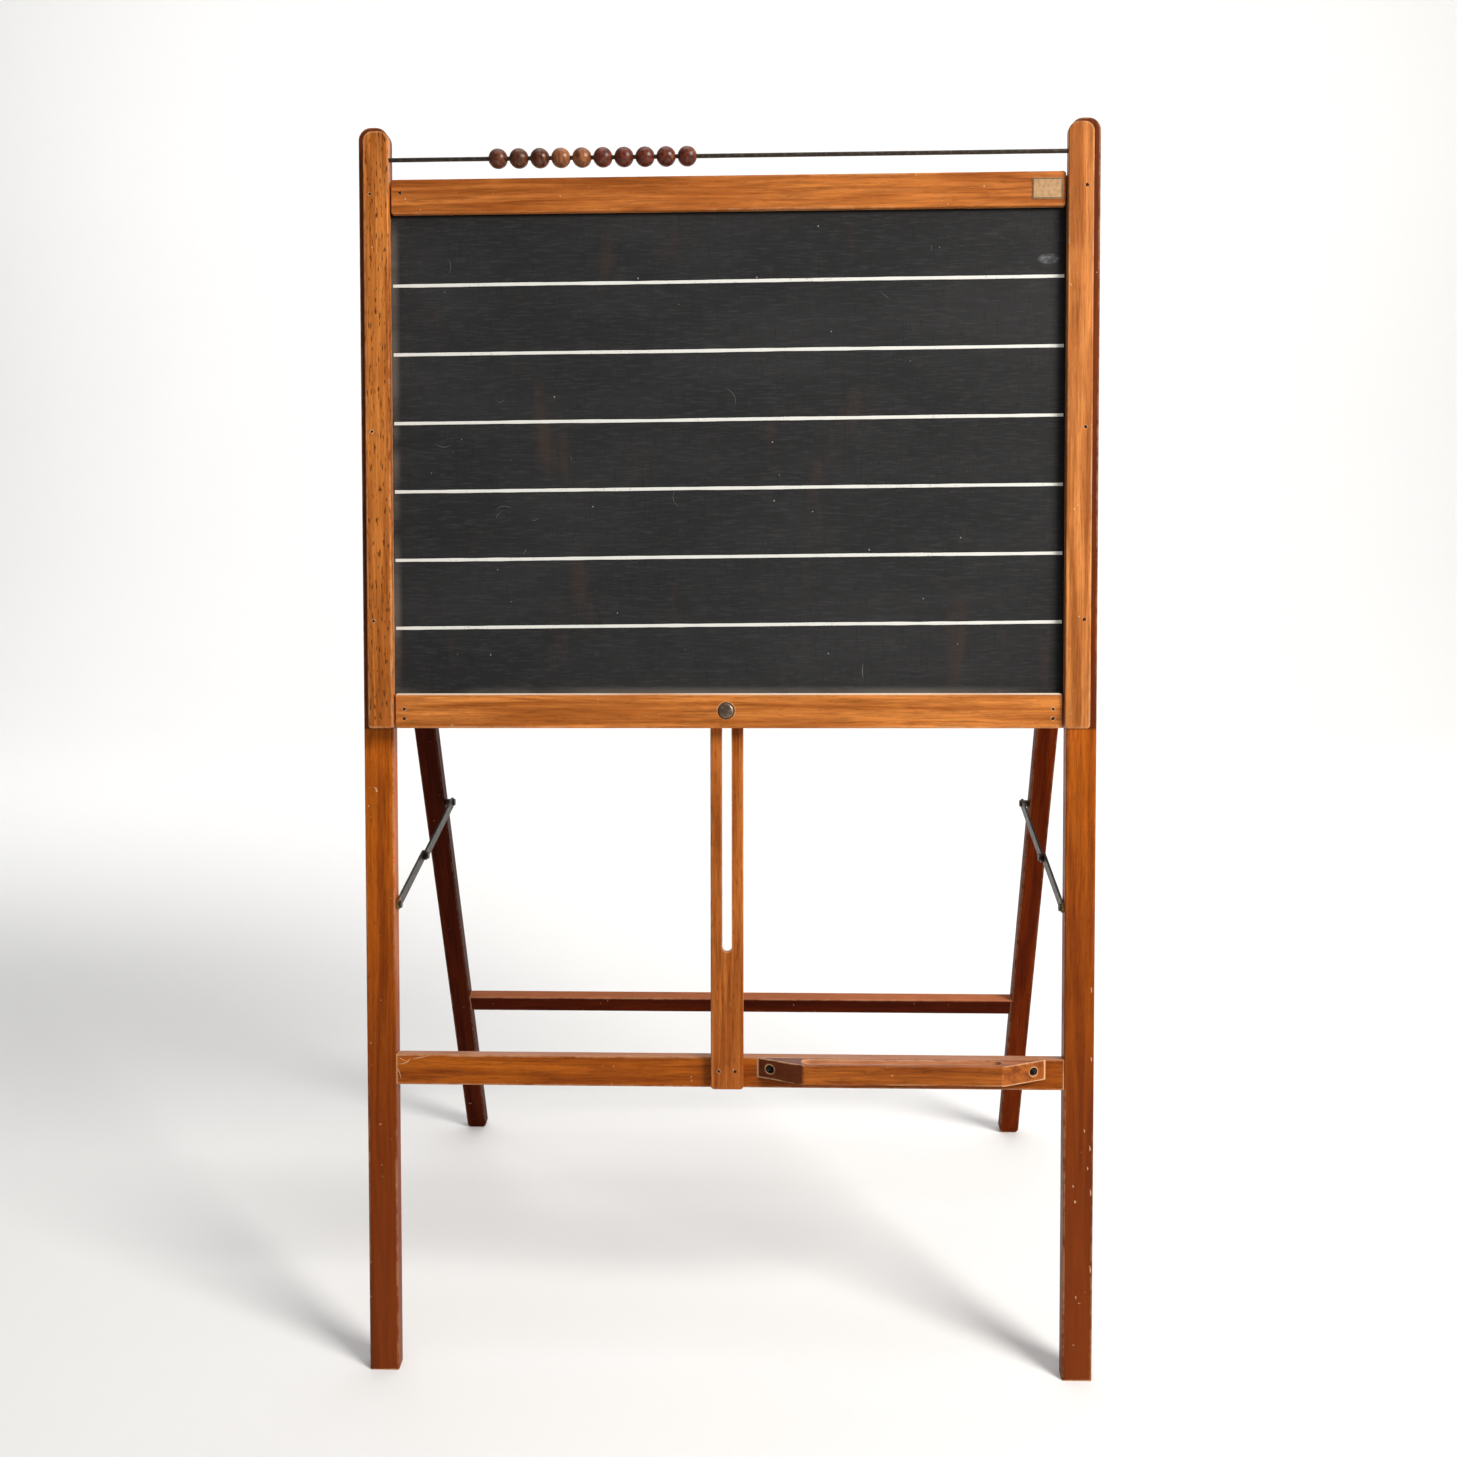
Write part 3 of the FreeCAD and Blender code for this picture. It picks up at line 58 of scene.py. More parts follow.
joints = {joint["name"]: joint for joint in frame["joints"]}
cad_low, cad_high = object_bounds()
random.seed(7)

# The two frames' leans and planes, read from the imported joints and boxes.
slide = Vector(joints["board_slide"]["axis"])
FRONT_LEAN = math.atan2(-slide.y, -slide.z)
OPENING = math.radians(joints["frame_fold"]["range_deg"][1])
REAR_LEAN = OPENING - FRONT_LEAN
FRONT = Matrix.Translation((0, cad_low[1], 0)) @ Matrix.Rotation(-FRONT_LEAN, 4, "X")
REAR = Matrix.Translation(joints["frame_fold"]["pos_m"]) @ Matrix.Rotation(REAR_LEAN, 4, "X")
MM = 0.001


def local_box(node, plane=FRONT):
    """Lowest and highest corner of a CAD node, square to its own frame."""
    back = plane.inverted()
    spots = [back @ vertex.co for vertex in nodes[node].data.vertices]
    low = Vector([min(spot[axis] for spot in spots) for axis in range(3)])
    high = Vector([max(spot[axis] for spot in spots) for axis in range(3)])
    return low, high


board_low, board_high = local_box("blackboard")
rail_low, rail_high = local_box("bottom_rail")
top_low = local_box("top_rail")[0]
BOARD_FACE = board_low.y

# ---------------------------------------------------------------- camera

CAMERA_PLACE = (0.0489, -1.3036, 0.8701)
CAMERA_YAW = math.radians(-2.235)
CAMERA_PITCH = math.radians(-15.255)
CAMERA_ROLL = math.radians(-0.567)
CAMERA_LENS = 37.31
CAMERA_SENSOR = 36.0


def add_camera():
    data = bpy.data.cameras.new("camera")
    data.lens = CAMERA_LENS
    data.sensor_width = CAMERA_SENSOR
    camera = bpy.data.objects.new("camera", data)
    bpy.context.scene.collection.objects.link(camera)
    turn = (Matrix.Rotation(-CAMERA_YAW, 4, "Z")
            @ Matrix.Rotation(math.pi / 2 + CAMERA_PITCH, 4, "X")
            @ Matrix.Rotation(CAMERA_ROLL, 4, "Z"))
    camera.matrix_world = Matrix.Translation(CAMERA_PLACE) @ turn
    bpy.context.scene.camera = camera


add_camera()

# ---------------------------------------------------------------- shader building


class Shader:
    """A material's node tree, with short calls for the nodes used here."""

    def __init__(self, name, gloss=0.5):
        self.gloss = gloss
        self.material = bpy.data.materials.new(name)
        self.material.use_nodes = True
        self.tree = self.material.node_tree
        self.surface = self.tree.nodes["Principled BSDF"]
        self.surface.inputs["IOR"].default_value = 1.5

    def add(self, kind, settings=None, **inputs):
        node = self.tree.nodes.new(kind)
        for key, value in (settings or {}).items():
            setattr(node, key, value)
        for key, value in inputs.items():
            self.feed(node.inputs[key.replace("_", " ")], value)
        return node

    def feed(self, socket, value):
        if isinstance(value, bpy.types.NodeSocket):
            self.tree.links.new(value, socket)
        else:
            socket.default_value = value

    def math(self, operation, one, two=0.5, clamp=False):
        node = self.add("ShaderNodeMath", {"operation": operation, "use_clamp": clamp})
        self.feed(node.inputs[0], one)
        self.feed(node.inputs[1], two)
        return node.outputs[0]

    def place(self, turn=(0, 0, 0), shift=(0, 0, 0), scale=(1, 1, 1), source=None):
        """Object coordinates, turned, shifted and stretched."""
        if source is None:
            source = self.add("ShaderNodeTexCoord").outputs["Object"]
        node = self.add("ShaderNodeMapping", Vector=source, Rotation=turn, Location=shift, Scale=scale)
        return node.outputs[0]

    def local(self, plane):
        """Coordinates in a frame's own plane, in metres."""
        back = plane.inverted()
        return self.place(turn=back.to_euler()[:], shift=back.translation[:])

    def noise(self, vector, scale, detail=4.0, rough=0.55, twist=0.0):
        node = self.add("ShaderNodeTexNoise", Vector=vector, Scale=scale, Detail=detail,
                        Roughness=rough, Distortion=twist)
        return node.outputs["Fac"]

    def ramp(self, value, low, high, out_low=0.0, out_high=1.0):
        node = self.add("ShaderNodeMapRange", {"clamp": True, "interpolation_type": "SMOOTHSTEP"},
                        Value=value, From_Min=low, From_Max=high, To_Min=out_low, To_Max=out_high)
        return node.outputs[0]

    def mix(self, share, one, two, blend="MIX"):
        node = self.add("ShaderNodeMix", {"data_type": "RGBA", "blend_type": blend})
        self.feed(node.inputs[0], share)
        for socket, value in ((node.inputs[6], one), (node.inputs[7], two)):
            self.feed(socket, value if isinstance(value, bpy.types.NodeSocket) else tuple(value) + (1.0,))
        return node.outputs[2]

    def edges(self, radius):
        """About 1 on convex and concave arrises, 0 on flat faces."""
        soft = self.add("ShaderNodeBevel", {"samples": 6}, Radius=radius).outputs[0]
        true = self.add("ShaderNodeNewGeometry").outputs["Normal"]
        dot = self.add("ShaderNodeVectorMath", {"operation": "DOT_PRODUCT"})
        self.feed(dot.inputs[0], soft)
        self.feed(dot.inputs[1], true)
        return self.math("SUBTRACT", 1.0, dot.outputs["Value"], clamp=True)

    def bump(self, height, strength, distance):
        node = self.add("ShaderNodeBump", Height=height, Strength=strength, Distance=distance)
        self.feed(self.surface.inputs["Normal"], node.outputs[0])

    def finish(self, **inputs):
        for key, value in inputs.items():
            if isinstance(value, tuple) and len(value) == 3:
                value = value + (1.0,)
            self.feed(self.surface.inputs[key.replace("_", " ")], value)
        self.surface.inputs["Specular IOR Level"].default_value = self.gloss
        return self.material


# ---------------------------------------------------------------- materials

GRAIN_STRETCH = 0.045
RUN_STRETCH = 0.20
COAT_PER_GLOSS = 0.4
SMUDGE_ACROSS = 9.0 * MM
SMUDGE_UP = 4.5 * MM
BARE_WOOD = (0.72, 0.42, 0.22)


def wood(name, along, plane, seed, base, fleck=0.25, wear=1.0, gloss=0.11, deep=None, covered=None,
         dust=None, top=None, trough=None, cheek=None):
    """Varnished wood: along is the grain's axis in its frame, base its mean colour.

    The later arguments paint shade that darkens it towards the floor, paint the stiles' shadow over it
    above their feet, where the board hides most of it, whiten an upper arris with chalk dust and a
    painted highlight, recolour an upper face lighter as painted light, lay bare a box-shaped hollow,
    and paint shade on the left end up to that place.
    """
    shade = Shader(name, gloss=gloss)
    square = shade.local(plane)
    parts = shade.add("ShaderNodeSeparateXYZ", Vector=square).outputs
    light = [part * gain for part, gain in zip(base, (1.25, 1.30, 1.40))]
    dark = [part * gain for part, gain in zip(base, (0.66, 0.55, 0.42))]
    shift = tuple(0.37 * seed * step for step in (1.0, 0.7, 1.3))
    stretch = [1.0, 1.0, 1.0]
    stretch["XYZ".index(along)] = GRAIN_STRETCH
    grain = shade.place(scale=tuple(stretch), shift=shift, source=square)
    moved = shade.place(shift=shift, source=square)
    bands = shade.noise(grain, 110.0, detail=3.0, twist=0.8)
    fibres = shade.noise(grain, 700.0, detail=5.0, rough=0.7)
    clouds = shade.noise(moved, 11.0, detail=3.0)
    colour = shade.mix(shade.ramp(bands, 0.34, 0.68), dark, light)
    streak = shade.ramp(fibres, 0.30, 0.70, 0.62, 1.12)
    colour = shade.mix(1.0, colour, shade.mix(streak, (0, 0, 0), (1, 1, 1)), "MULTIPLY")
    colour = shade.mix(shade.ramp(clouds, 0.50, 0.72, 0.0, 0.45), colour, dark)
    colour = shade.mix(shade.ramp(clouds, 0.30, 0.42, 0.30, 0.0), colour, light)
    stretch["XYZ".index(along)] = RUN_STRETCH
    dashes = shade.noise(shade.place(scale=tuple(stretch), shift=shift, source=square),
                         560.0, detail=1.0)
    colour = shade.mix(shade.ramp(dashes, 0.58, 0.68, 0.0, fleck), colour, [part * 0.3 for part in dark])
    # Painted shade: darker towards the floor, standing in for the light falling off lower down.
    if deep is not None:
        low, high, tone = deep
        foot_shade = shade.mix(shade.ramp(bands, 0.34, 0.68), [part * 0.72 for part in tone], tone)
        colour = shade.mix(shade.ramp(parts["Z"], low, high, 0.92, 0.0), colour, foot_shade)
    # Painted shadow: the stiles' shadow on the legs, from the stiles' feet upwards.
    if covered is not None:
        colour = shade.mix(shade.ramp(parts["Z"], covered - 3 * MM, covered, 0.0, 0.80), colour,
                           [part * gain for part, gain in zip(base, (0.16, 0.09, 0.10))])
    # Painted light: an upper face recoloured lighter, as if lit from above.
    if top is not None:
        level, tone = top
        upper = shade.ramp(parts["Z"], level - 1.3 * MM, level - 0.3 * MM, 0.0, 0.9)
        bright = shade.mix(shade.ramp(fibres, 0.3, 0.7), [part * 0.7 for part in tone], tone)
        colour = shade.mix(upper, colour, bright)
    # Painted shade: the left end darkened up to the given place.
    if cheek is not None:
        painted_end_shade = shade.ramp(parts["X"], cheek - 1.5 * MM, cheek, 0.80, 0.0)
        colour = shade.mix(painted_end_shade, colour, [part * gain for part, gain in zip(base, (0.22, 0.12, 0.12))])
    if trough is not None:
        inside = 1.0
        for axis, low, high in trough:
            inside = shade.math("MULTIPLY", inside, shade.math("GREATER_THAN", parts[axis], low))
            inside = shade.math("MULTIPLY", inside, shade.math("LESS_THAN", parts[axis], high))
        raw = shade.mix(shade.ramp(fibres, 0.3, 0.7), (0.46, 0.19, 0.085), (0.66, 0.32, 0.17))
        colour = shade.mix(shade.math("MULTIPLY", inside, 0.9), colour, raw)
    chips = shade.noise(moved, 90.0, detail=6.0, rough=0.65)
    runs = shade.noise(shade.place(scale=tuple(stretch), shift=shift, source=square),
                       24.0, detail=3.0)
    chance = shade.math("MULTIPLY", shade.ramp(chips, 0.36, 0.62, 0.7, 3.6),
                        shade.ramp(runs, 0.36, 0.60, 0.35, 2.0))
    rubbed = shade.ramp(shade.math("MULTIPLY", shade.edges(2.5 * MM), chance),
                        0.05, 0.30, 0.0, 0.85 * wear)
    spots = shade.noise(moved, 230.0, detail=2.0)
    nicks = shade.ramp(spots, 0.745, 0.765, 0.0, 0.75)
    bare = shade.math("MAXIMUM", rubbed, nicks)
    colour = shade.mix(bare, colour, BARE_WOOD)
    # Chalk dust and a painted highlight: the upper arris whitened.
    if dust is not None:
        powder_and_sheen = shade.math("MULTIPLY", shade.ramp(parts["Z"], dust - 1.9 * MM, dust - 0.7 * MM),
                            shade.ramp(runs, 0.32, 0.55, 0.35, 0.95))
        colour = shade.mix(powder_and_sheen, colour, (0.72, 0.60, 0.47))
    relief = shade.math("ADD", shade.math("MULTIPLY", fibres, 0.6), shade.math("MULTIPLY", bands, 0.5))
    relief = shade.math("SUBTRACT", relief, shade.math("MULTIPLY", nicks, 0.9))
    relief = shade.math("SUBTRACT", relief, shade.ramp(dashes, 0.58, 0.68, 0.0, fleck))
    shade.bump(relief, 0.40, 0.25 * MM)
    rough = shade.math("ADD", shade.ramp(clouds, 0.3, 0.7, 0.38, 0.50),
                       shade.math("MULTIPLY", bare, 0.2))
    return shade.finish(Base_Color=colour, Roughness=rough, Coat_Weight=COAT_PER_GLOSS * gloss,
                        Coat_Roughness=0.25)


def board_paint():
    """Matt blackboard paint: brush grain, chalk haze, rubbed brown patches, a smudge, and painted shadow
    under the top rail and beside the right stile.
    """
    shade = Shader("blackboard_paint", gloss=0.12)
    square = shade.local(FRONT)
    parts = shade.add("ShaderNodeSeparateXYZ", Vector=square).outputs
    weave = shade.noise(shade.place(scale=(0.10, 1, 1), source=square), 900.0, detail=3.0)
    cross = shade.noise(shade.place(scale=(1, 1, 0.12), source=square), 700.0, detail=2.0)
    haze = shade.noise(shade.place(scale=(0.35, 1, 1), source=square), 14.0, detail=5.0, rough=0.62)
    colour = shade.mix(shade.ramp(haze, 0.36, 0.70), (0.018, 0.0178, 0.0182), (0.027, 0.0265, 0.027))
    colour = shade.mix(shade.ramp(weave, 0.45, 0.75, 0.0, 0.45), colour, (0.050, 0.049, 0.0495))
    colour = shade.mix(shade.ramp(cross, 0.55, 0.75, 0.0, 0.35), colour, (0.010, 0.010, 0.010))
    streaks = shade.place(scale=(2.6, 1, 0.7), shift=(3.1, 0, 0.4), source=square)
    rubbed = shade.noise(streaks, 11.0, detail=6.0)
    colour = shade.mix(shade.ramp(rubbed, 0.58, 0.74, 0.0, 0.28), colour, (0.080, 0.042, 0.025))
    border = shade.math("MINIMUM", shade.math("SUBTRACT", parts["X"], rail_low.x),
                        shade.math("SUBTRACT", parts["Z"], rail_high.z))
    dusty = shade.math("MULTIPLY", shade.ramp(border, 0.5 * MM, 7.0 * MM, 0.55, 0.0),
                       shade.ramp(haze, 0.35, 0.6))
    colour = shade.mix(dusty, colour, (0.17, 0.15, 0.13))
    # Painted shadow: dark bands under the top rail and along the right stile.
    under = shade.math("SUBTRACT", top_low.z, parts["Z"])
    beside = shade.math("SUBTRACT", rail_high.x, parts["X"])
    painted_rail_shadow = shade.math("MAXIMUM", shade.ramp(under, 0.0, 4.0 * MM, 0.85, 0.0),
                       shade.ramp(beside, 0.0, 5.0 * MM, 0.75, 0.0))
    colour = shade.mix(painted_rail_shadow, colour, (0.006, 0.0055, 0.005))
    spot = Vector((rail_high.x - 13 * MM, BOARD_FACE, top_low.z - 41 * MM))
    far = shade.place(shift=(-spot.x / SMUDGE_ACROSS, 0, -spot.z / SMUDGE_UP),
                      scale=(1 / SMUDGE_ACROSS, 0, 1 / SMUDGE_UP), source=square)
    ring = shade.add("ShaderNodeVectorMath", {"operation": "LENGTH"})
    shade.feed(ring.inputs[0], far)
    swipes = shade.noise(shade.place(turn=(0, 0.35, 0), scale=(0.25, 1, 1), source=square),
                         480.0, detail=3.0)
    smudge = shade.math("MULTIPLY", shade.ramp(ring.outputs["Value"], 0.45, 1.15, 1.0, 0.0),
                        shade.ramp(swipes, 0.38, 0.60, 0.15, 0.85))
    colour = shade.mix(smudge, colour, (0.17, 0.172, 0.178))
    relief = shade.math("ADD", weave, shade.math("MULTIPLY", cross, 0.7))
    shade.bump(relief, 0.35, 0.12 * MM)
    return shade.finish(Base_Color=colour, Roughness=shade.ramp(haze, 0.3, 0.7, 0.62, 0.74))


def line_paint(name="line_paint", colour=(0.74, 0.73, 0.68), thin=(0.32, 0.32, 0.30)):
    shade = Shader(name, gloss=0.2)
    square = shade.place()
    worn = shade.noise(square, 420.0, detail=5.0, rough=0.7)
    long_wear = shade.noise(square, 18.0, detail=3.0)
    share = shade.math("MULTIPLY", shade.ramp(worn, 0.55, 0.70), shade.ramp(long_wear, 0.4, 0.7))
    shade.bump(worn, 0.3, 0.1 * MM)
    return shade.finish(Base_Color=shade.mix(share, colour, thin), Roughness=0.7)


def metal(name, dull, bright, rough=0.42, metallic=0.9, scale=260.0, edge=1.2):
    """Tarnished metal, rubbed bright along its arrises."""
    shade = Shader(name)
    square = shade.place()
    patches = shade.noise(square, scale, detail=5.0, rough=0.65)
    rubbed = shade.ramp(shade.math("MULTIPLY", shade.edges(0.7 * MM), edge * 2.0), 0.10, 0.60, 0.0, 0.8)
    spots = shade.ramp(patches, 0.45, 0.68, 0.0, 0.55)
    colour = shade.mix(shade.math("MAXIMUM", rubbed, spots), dull, bright)
    shade.bump(patches, 0.25, 0.08 * MM)
    return shade.finish(Base_Color=colour, Metallic=metallic,
                        Roughness=shade.ramp(patches, 0.3, 0.7, rough, rough + 0.14))


def stay_metal():
    """Brass-plated strip, bright near the front screw and darker towards the rear one."""
    shade = Shader("stay_brass")
    square = shade.place()
    patches = shade.noise(square, 240.0, detail=5.0, rough=0.65)
    depth = shade.add("ShaderNodeSeparateXYZ", Vector=square).outputs["Y"]
    start = joints["stay_front_swing_left"]["pos_m"][1]
    finish = joints["stay_knee_left"]["pos_m"][1]
    ragged = shade.math("ADD", depth, shade.math("MULTIPLY", patches, 0.03))
    # Bright near the front screw and darker towards the rear.
    rearward_dark = shade.ramp(ragged, start + 4 * MM, start + 0.3 * (finish - start))
    colour = shade.mix(rearward_dark, (0.26, 0.17, 0.065), (0.026, 0.016, 0.009))
    colour = shade.mix(shade.ramp(patches, 0.5, 0.72, 0.0, 0.5), colour, (0.022, 0.015, 0.010))
    rubbed = shade.ramp(shade.math("MULTIPLY", shade.edges(0.4 * MM), 2.0), 0.2, 0.8, 0.0, 0.3)
    colour = shade.mix(rubbed, colour, (0.22, 0.15, 0.075))
    shade.bump(patches, 0.3, 0.08 * MM)
    return shade.finish(Base_Color=colour, Metallic=0.85,
                        Roughness=shade.ramp(patches, 0.3, 0.7, 0.36, 0.5))


def bead_lacquer(name, light, dark, seed):
    """A turned bead: fine grain across the rod, lacquer rubbed through in places."""
    shade = Shader(name, gloss=0.3)
    square = shade.place(shift=(seed * 1.7, seed * 0.9, seed * 2.3), turn=(0.4 * seed, 0.2 * seed, 0))
    grain = shade.noise(shade.place(scale=(1, 0.18, 1), source=square), 420.0, detail=4.0)
    patch = shade.noise(square, 130.0, detail=4.0)
    colour = shade.mix(shade.ramp(grain, 0.34, 0.66), dark, light)
    colour = shade.mix(shade.ramp(patch, 0.56, 0.68, 0.0, 0.55), colour, [part * 0.45 for part in dark])
    colour = shade.mix(shade.ramp(patch, 0.30, 0.38, 0.35, 0.0), colour, (0.34, 0.19, 0.10))
    shade.bump(grain, 0.3, 0.12 * MM)
    return shade.finish(Base_Color=colour, Roughness=shade.ramp(patch, 0.3, 0.7, 0.30, 0.46),
                        Coat_Weight=0.15, Coat_Roughness=0.22)


def plate_foil():
    """Blank cream-gold foil plate with a dark rim, scuffed."""
    shade = Shader("plate_cream")
    square = shade.place()
    scuff = shade.noise(square, 330.0, detail=5.0, rough=0.7)
    colour = shade.mix(shade.ramp(scuff, 0.42, 0.64), (0.50, 0.30, 0.145), (0.37, 0.21, 0.096))
    shade.bump(scuff, 0.25, 0.06 * MM)
    return shade.finish(Base_Color=colour, Metallic=0.25, Roughness=0.42)


ORANGE = (0.50, 0.155, 0.030)
AMBER = (0.405, 0.094, 0.0050)
# Painted shade: the rear frame's colours are darkened as if out of the light.
REAR_SHADED_MAROON = (0.062, 0.0070, 0.0006)
REAR_SHADED_RUSSET = (0.130, 0.0165, 0.0004)
BROWN = (0.36, 0.150, 0.058)
# Painted shade: the tone the front legs darken to near the floor.
LEG_FOOT_SHADE_TONE = (0.170, 0.026, 0.0002)
# Painted light: lighter colours for the stretchers' upper faces, as if lit from above.
REAR_STRETCHER_LIT_TOP = (0.46, 0.150, 0.065)
FRONT_STRETCHER_LIT_TOP = (0.42, 0.155, 0.060)
REAR_GLOSS = 0.025

# Piece: grain axis, its frame, mean colour, flecks, edge wear.
TIMBER = {
    "leg_left": ("Z", FRONT, (0.47, 0.110, 0.0060), 0.30, 0.8),
    "leg_right": ("Z", FRONT, AMBER, 0.25, 0.9),
    "slotted_bar": ("Z", FRONT, (0.44, 0.125, 0.020), 0.30, 0.6),
    "stile_left": ("Z", FRONT, (0.53, 0.170, 0.030), 0.95, 1.15),
    "stile_right": ("Z", FRONT, (0.55, 0.190, 0.045), 0.15, 1.0),
    "stile_spacer_left": ("Z", FRONT, AMBER, 0.20, 0.4),
    "stile_spacer_right": ("Z", FRONT, AMBER, 0.20, 0.4),
    "front_stretcher": ("X", FRONT, (0.36, 0.085, 0.0050), 0.20, 1.0),
    "chalk_tray": ("X", FRONT, (0.35, 0.091, 0.011), 0.30, 1.1),
    "top_rail": ("X", FRONT, ORANGE, 0.18, 0.9),
    "bottom_rail": ("X", FRONT, (0.60, 0.200, 0.040), 0.20, 1.1),
    # Rear legs and stretcher: base colours darkened as painted shade.
    "rear_leg_left": ("Z", REAR, REAR_SHADED_MAROON, 0.20, 0.35),
    "rear_leg_right": ("Z", REAR, REAR_SHADED_RUSSET, 0.20, 0.45),
    "rear_stretcher": ("X", REAR, (0.076, 0.0085, 0.0006), 0.20, 0.6),
    "upper_crossbar": ("X", FRONT, BROWN, 0.25, 0.6),
    "board_batten_left": ("Z", FRONT, BROWN, 0.25, 0.6),
    "board_batten_right": ("Z", FRONT, BROWN, 0.25, 0.6),
    "frame_dowels": ("X", FRONT, BROWN, 0.20, 0.0),
    "rear_dowels": ("X", REAR, BROWN, 0.20, 0.0),
}


def dress_wood():
    """Every wooden CAD node gets its own cut of the timber."""
    leg_foot = local_box("leg_left")[0].z
    tray_low, tray_high = local_box("chalk_tray")
    # Painted shade towards the legs' feet.
    foot_shade = (leg_foot + 0.12, leg_foot + 0.62, LEG_FOOT_SHADE_TONE)
    middle = (tray_low.x + tray_high.x) / 2
    reach = (tray_high.x - tray_low.x) * 0.36
    trough = (("X", middle - reach, middle + reach), ("Y", tray_low.y + 5.6 * MM, tray_high.y - 4.6 * MM),
              ("Z", tray_low.z + 6.0 * MM, tray_high.z - 0.5 * MM))
    for seed, (name, (along, plane, base, fleck, wear)) in enumerate(TIMBER.items(), 1):
        extra = {}
        if name in ("leg_left", "leg_right"):
            extra.update(deep=foot_shade, covered=local_box("stile_left")[0].z)
        if plane is REAR:
            extra["gloss"] = REAR_GLOSS
        if name == "rear_stretcher":
            extra["top"] = (local_box(name, REAR)[1].z, REAR_STRETCHER_LIT_TOP)
        if name == "front_stretcher":
            extra["top"] = (local_box(name)[1].z, FRONT_STRETCHER_LIT_TOP)
        if name == "bottom_rail":
            extra["dust"] = rail_high.z
        if name == "chalk_tray":
            extra.update(trough=trough, cheek=tray_low.x + 0.16 * (tray_high.x - tray_low.x))
        paint(nodes[name], wood("varnish_" + name, along, plane, seed, base, fleck, wear, **extra))


def paint(piece, material):
    piece.data.materials.clear()
    piece.data.materials.append(material)


def dress_rest():
    paint(nodes["blackboard"], board_paint())
    steel = metal("dark_steel", (0.050, 0.040, 0.032), (0.17, 0.13, 0.10), rough=0.40)
    rusty = metal("nail_steel", (0.012, 0.007, 0.004), (0.035, 0.018, 0.010), rough=0.6,
                  metallic=0.3, edge=0.0)
    bolt = metal("bolt_steel", (0.16, 0.115, 0.080), (0.42, 0.34, 0.27), rough=0.34)
    hinge = metal("hinge_brass", (0.30, 0.20, 0.085), (0.56, 0.42, 0.20), rough=0.36)
    stay = stay_metal()
    for name, piece in nodes.items():
        if name.startswith("hinge_leaf") or name == "hinge_pins":
            paint(piece, hinge)
        elif name.startswith(("stay_front_link", "stay_rear_link")):
            paint(piece, stay)
        elif name.startswith(("stay", "hinge_screws")) or name in ("abacus_rod", "tray_screws"):
            paint(piece, steel)
        elif name.endswith(("nails", "brads")):
            paint(piece, rusty)
        elif name in ("carriage_bolt", "washer", "wing_nut"):
            paint(piece, bolt)
    paint(nodes["label_plate"], plate_foil())
    for number in range(1, 11):
        if number <= 3:
            light, dark = (0.140, 0.038, 0.011), (0.040, 0.010, 0.003)
        elif number <= 5:
            light, dark = (0.32, 0.110, 0.034), (0.105, 0.030, 0.009)
        else:
            light, dark = (0.168, 0.032, 0.012), (0.052, 0.009, 0.003)
        name = "bead_%02d" % number
        paint(nodes[name], bead_lacquer("lacquer_" + name, light, dark, number))


# ---------------------------------------------------------------- added pieces


def new_piece(name, mesh_builder, material, body, plane=FRONT, smooth=True):
    """A mesh built by a bmesh function in a frame's own plane, riding on a body."""
    sheet = bmesh.new()
    mesh_builder(sheet)
    bmesh.ops.recalc_face_normals(sheet, faces=sheet.faces)
    bmesh.ops.transform(sheet, matrix=plane, verts=sheet.verts)
    data = bpy.data.meshes.new(name)
    sheet.to_mesh(data)
    sheet.free()
    for face in data.polygons:
        face.use_smooth = smooth
    piece = bpy.data.objects.new(name, data)
    bpy.context.scene.collection.objects.link(piece)
    piece.data.materials.append(material)
    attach(piece, body)
    return piece


LINE_COUNT = 6
LINE_WIDTH = 2.7 * MM
LINE_RISE = 0.14 * MM
LINE_STEPS = 90
SPECK_COUNT = 34
SCRATCH_COUNT = 12
SCRATCH_STEPS = 16


def painted_line(number):
    """A hand-ruled white line: a low ribbon whose edges wander a little, slightly uphill."""
    pitch = (top_low.z - rail_high.z) / (LINE_COUNT + 1)
    middle = rail_high.z + pitch * number
    tilt = math.radians(0.43 - 0.16 * (number - 1) / (LINE_COUNT - 1))
    reach = rail_high.x - 0.3 * MM

    def build(sheet):
        rows = []
        for step in range(LINE_STEPS + 1):
            x = -reach + 2 * reach * step / LINE_STEPS
            wander = noise.noise(Vector((x * 9, number * 3.7, 0))) * 0.35 * MM
            half = LINE_WIDTH / 2 * (1 + 0.18 * noise.noise(Vector((x * 60, number * 5.1, 2))))
            z = middle + x * math.tan(tilt) + wander
            row = [(x, BOARD_FACE + 0.02 * MM, z - half), (x, BOARD_FACE - LINE_RISE, z - half * 0.82),
                   (x, BOARD_FACE - LINE_RISE, z + half * 0.82), (x, BOARD_FACE + 0.02 * MM, z + half)]
            rows.append([sheet.verts.new(spot) for spot in row])
        for one, two in zip(rows, rows[1:]):
            for side in range(4):
                sheet.faces.new((one[side], one[(side + 1) % 4], two[(side + 1) % 4], two[side]))
        sheet.faces.new(rows[0])
        sheet.faces.new(rows[-1])

    return build


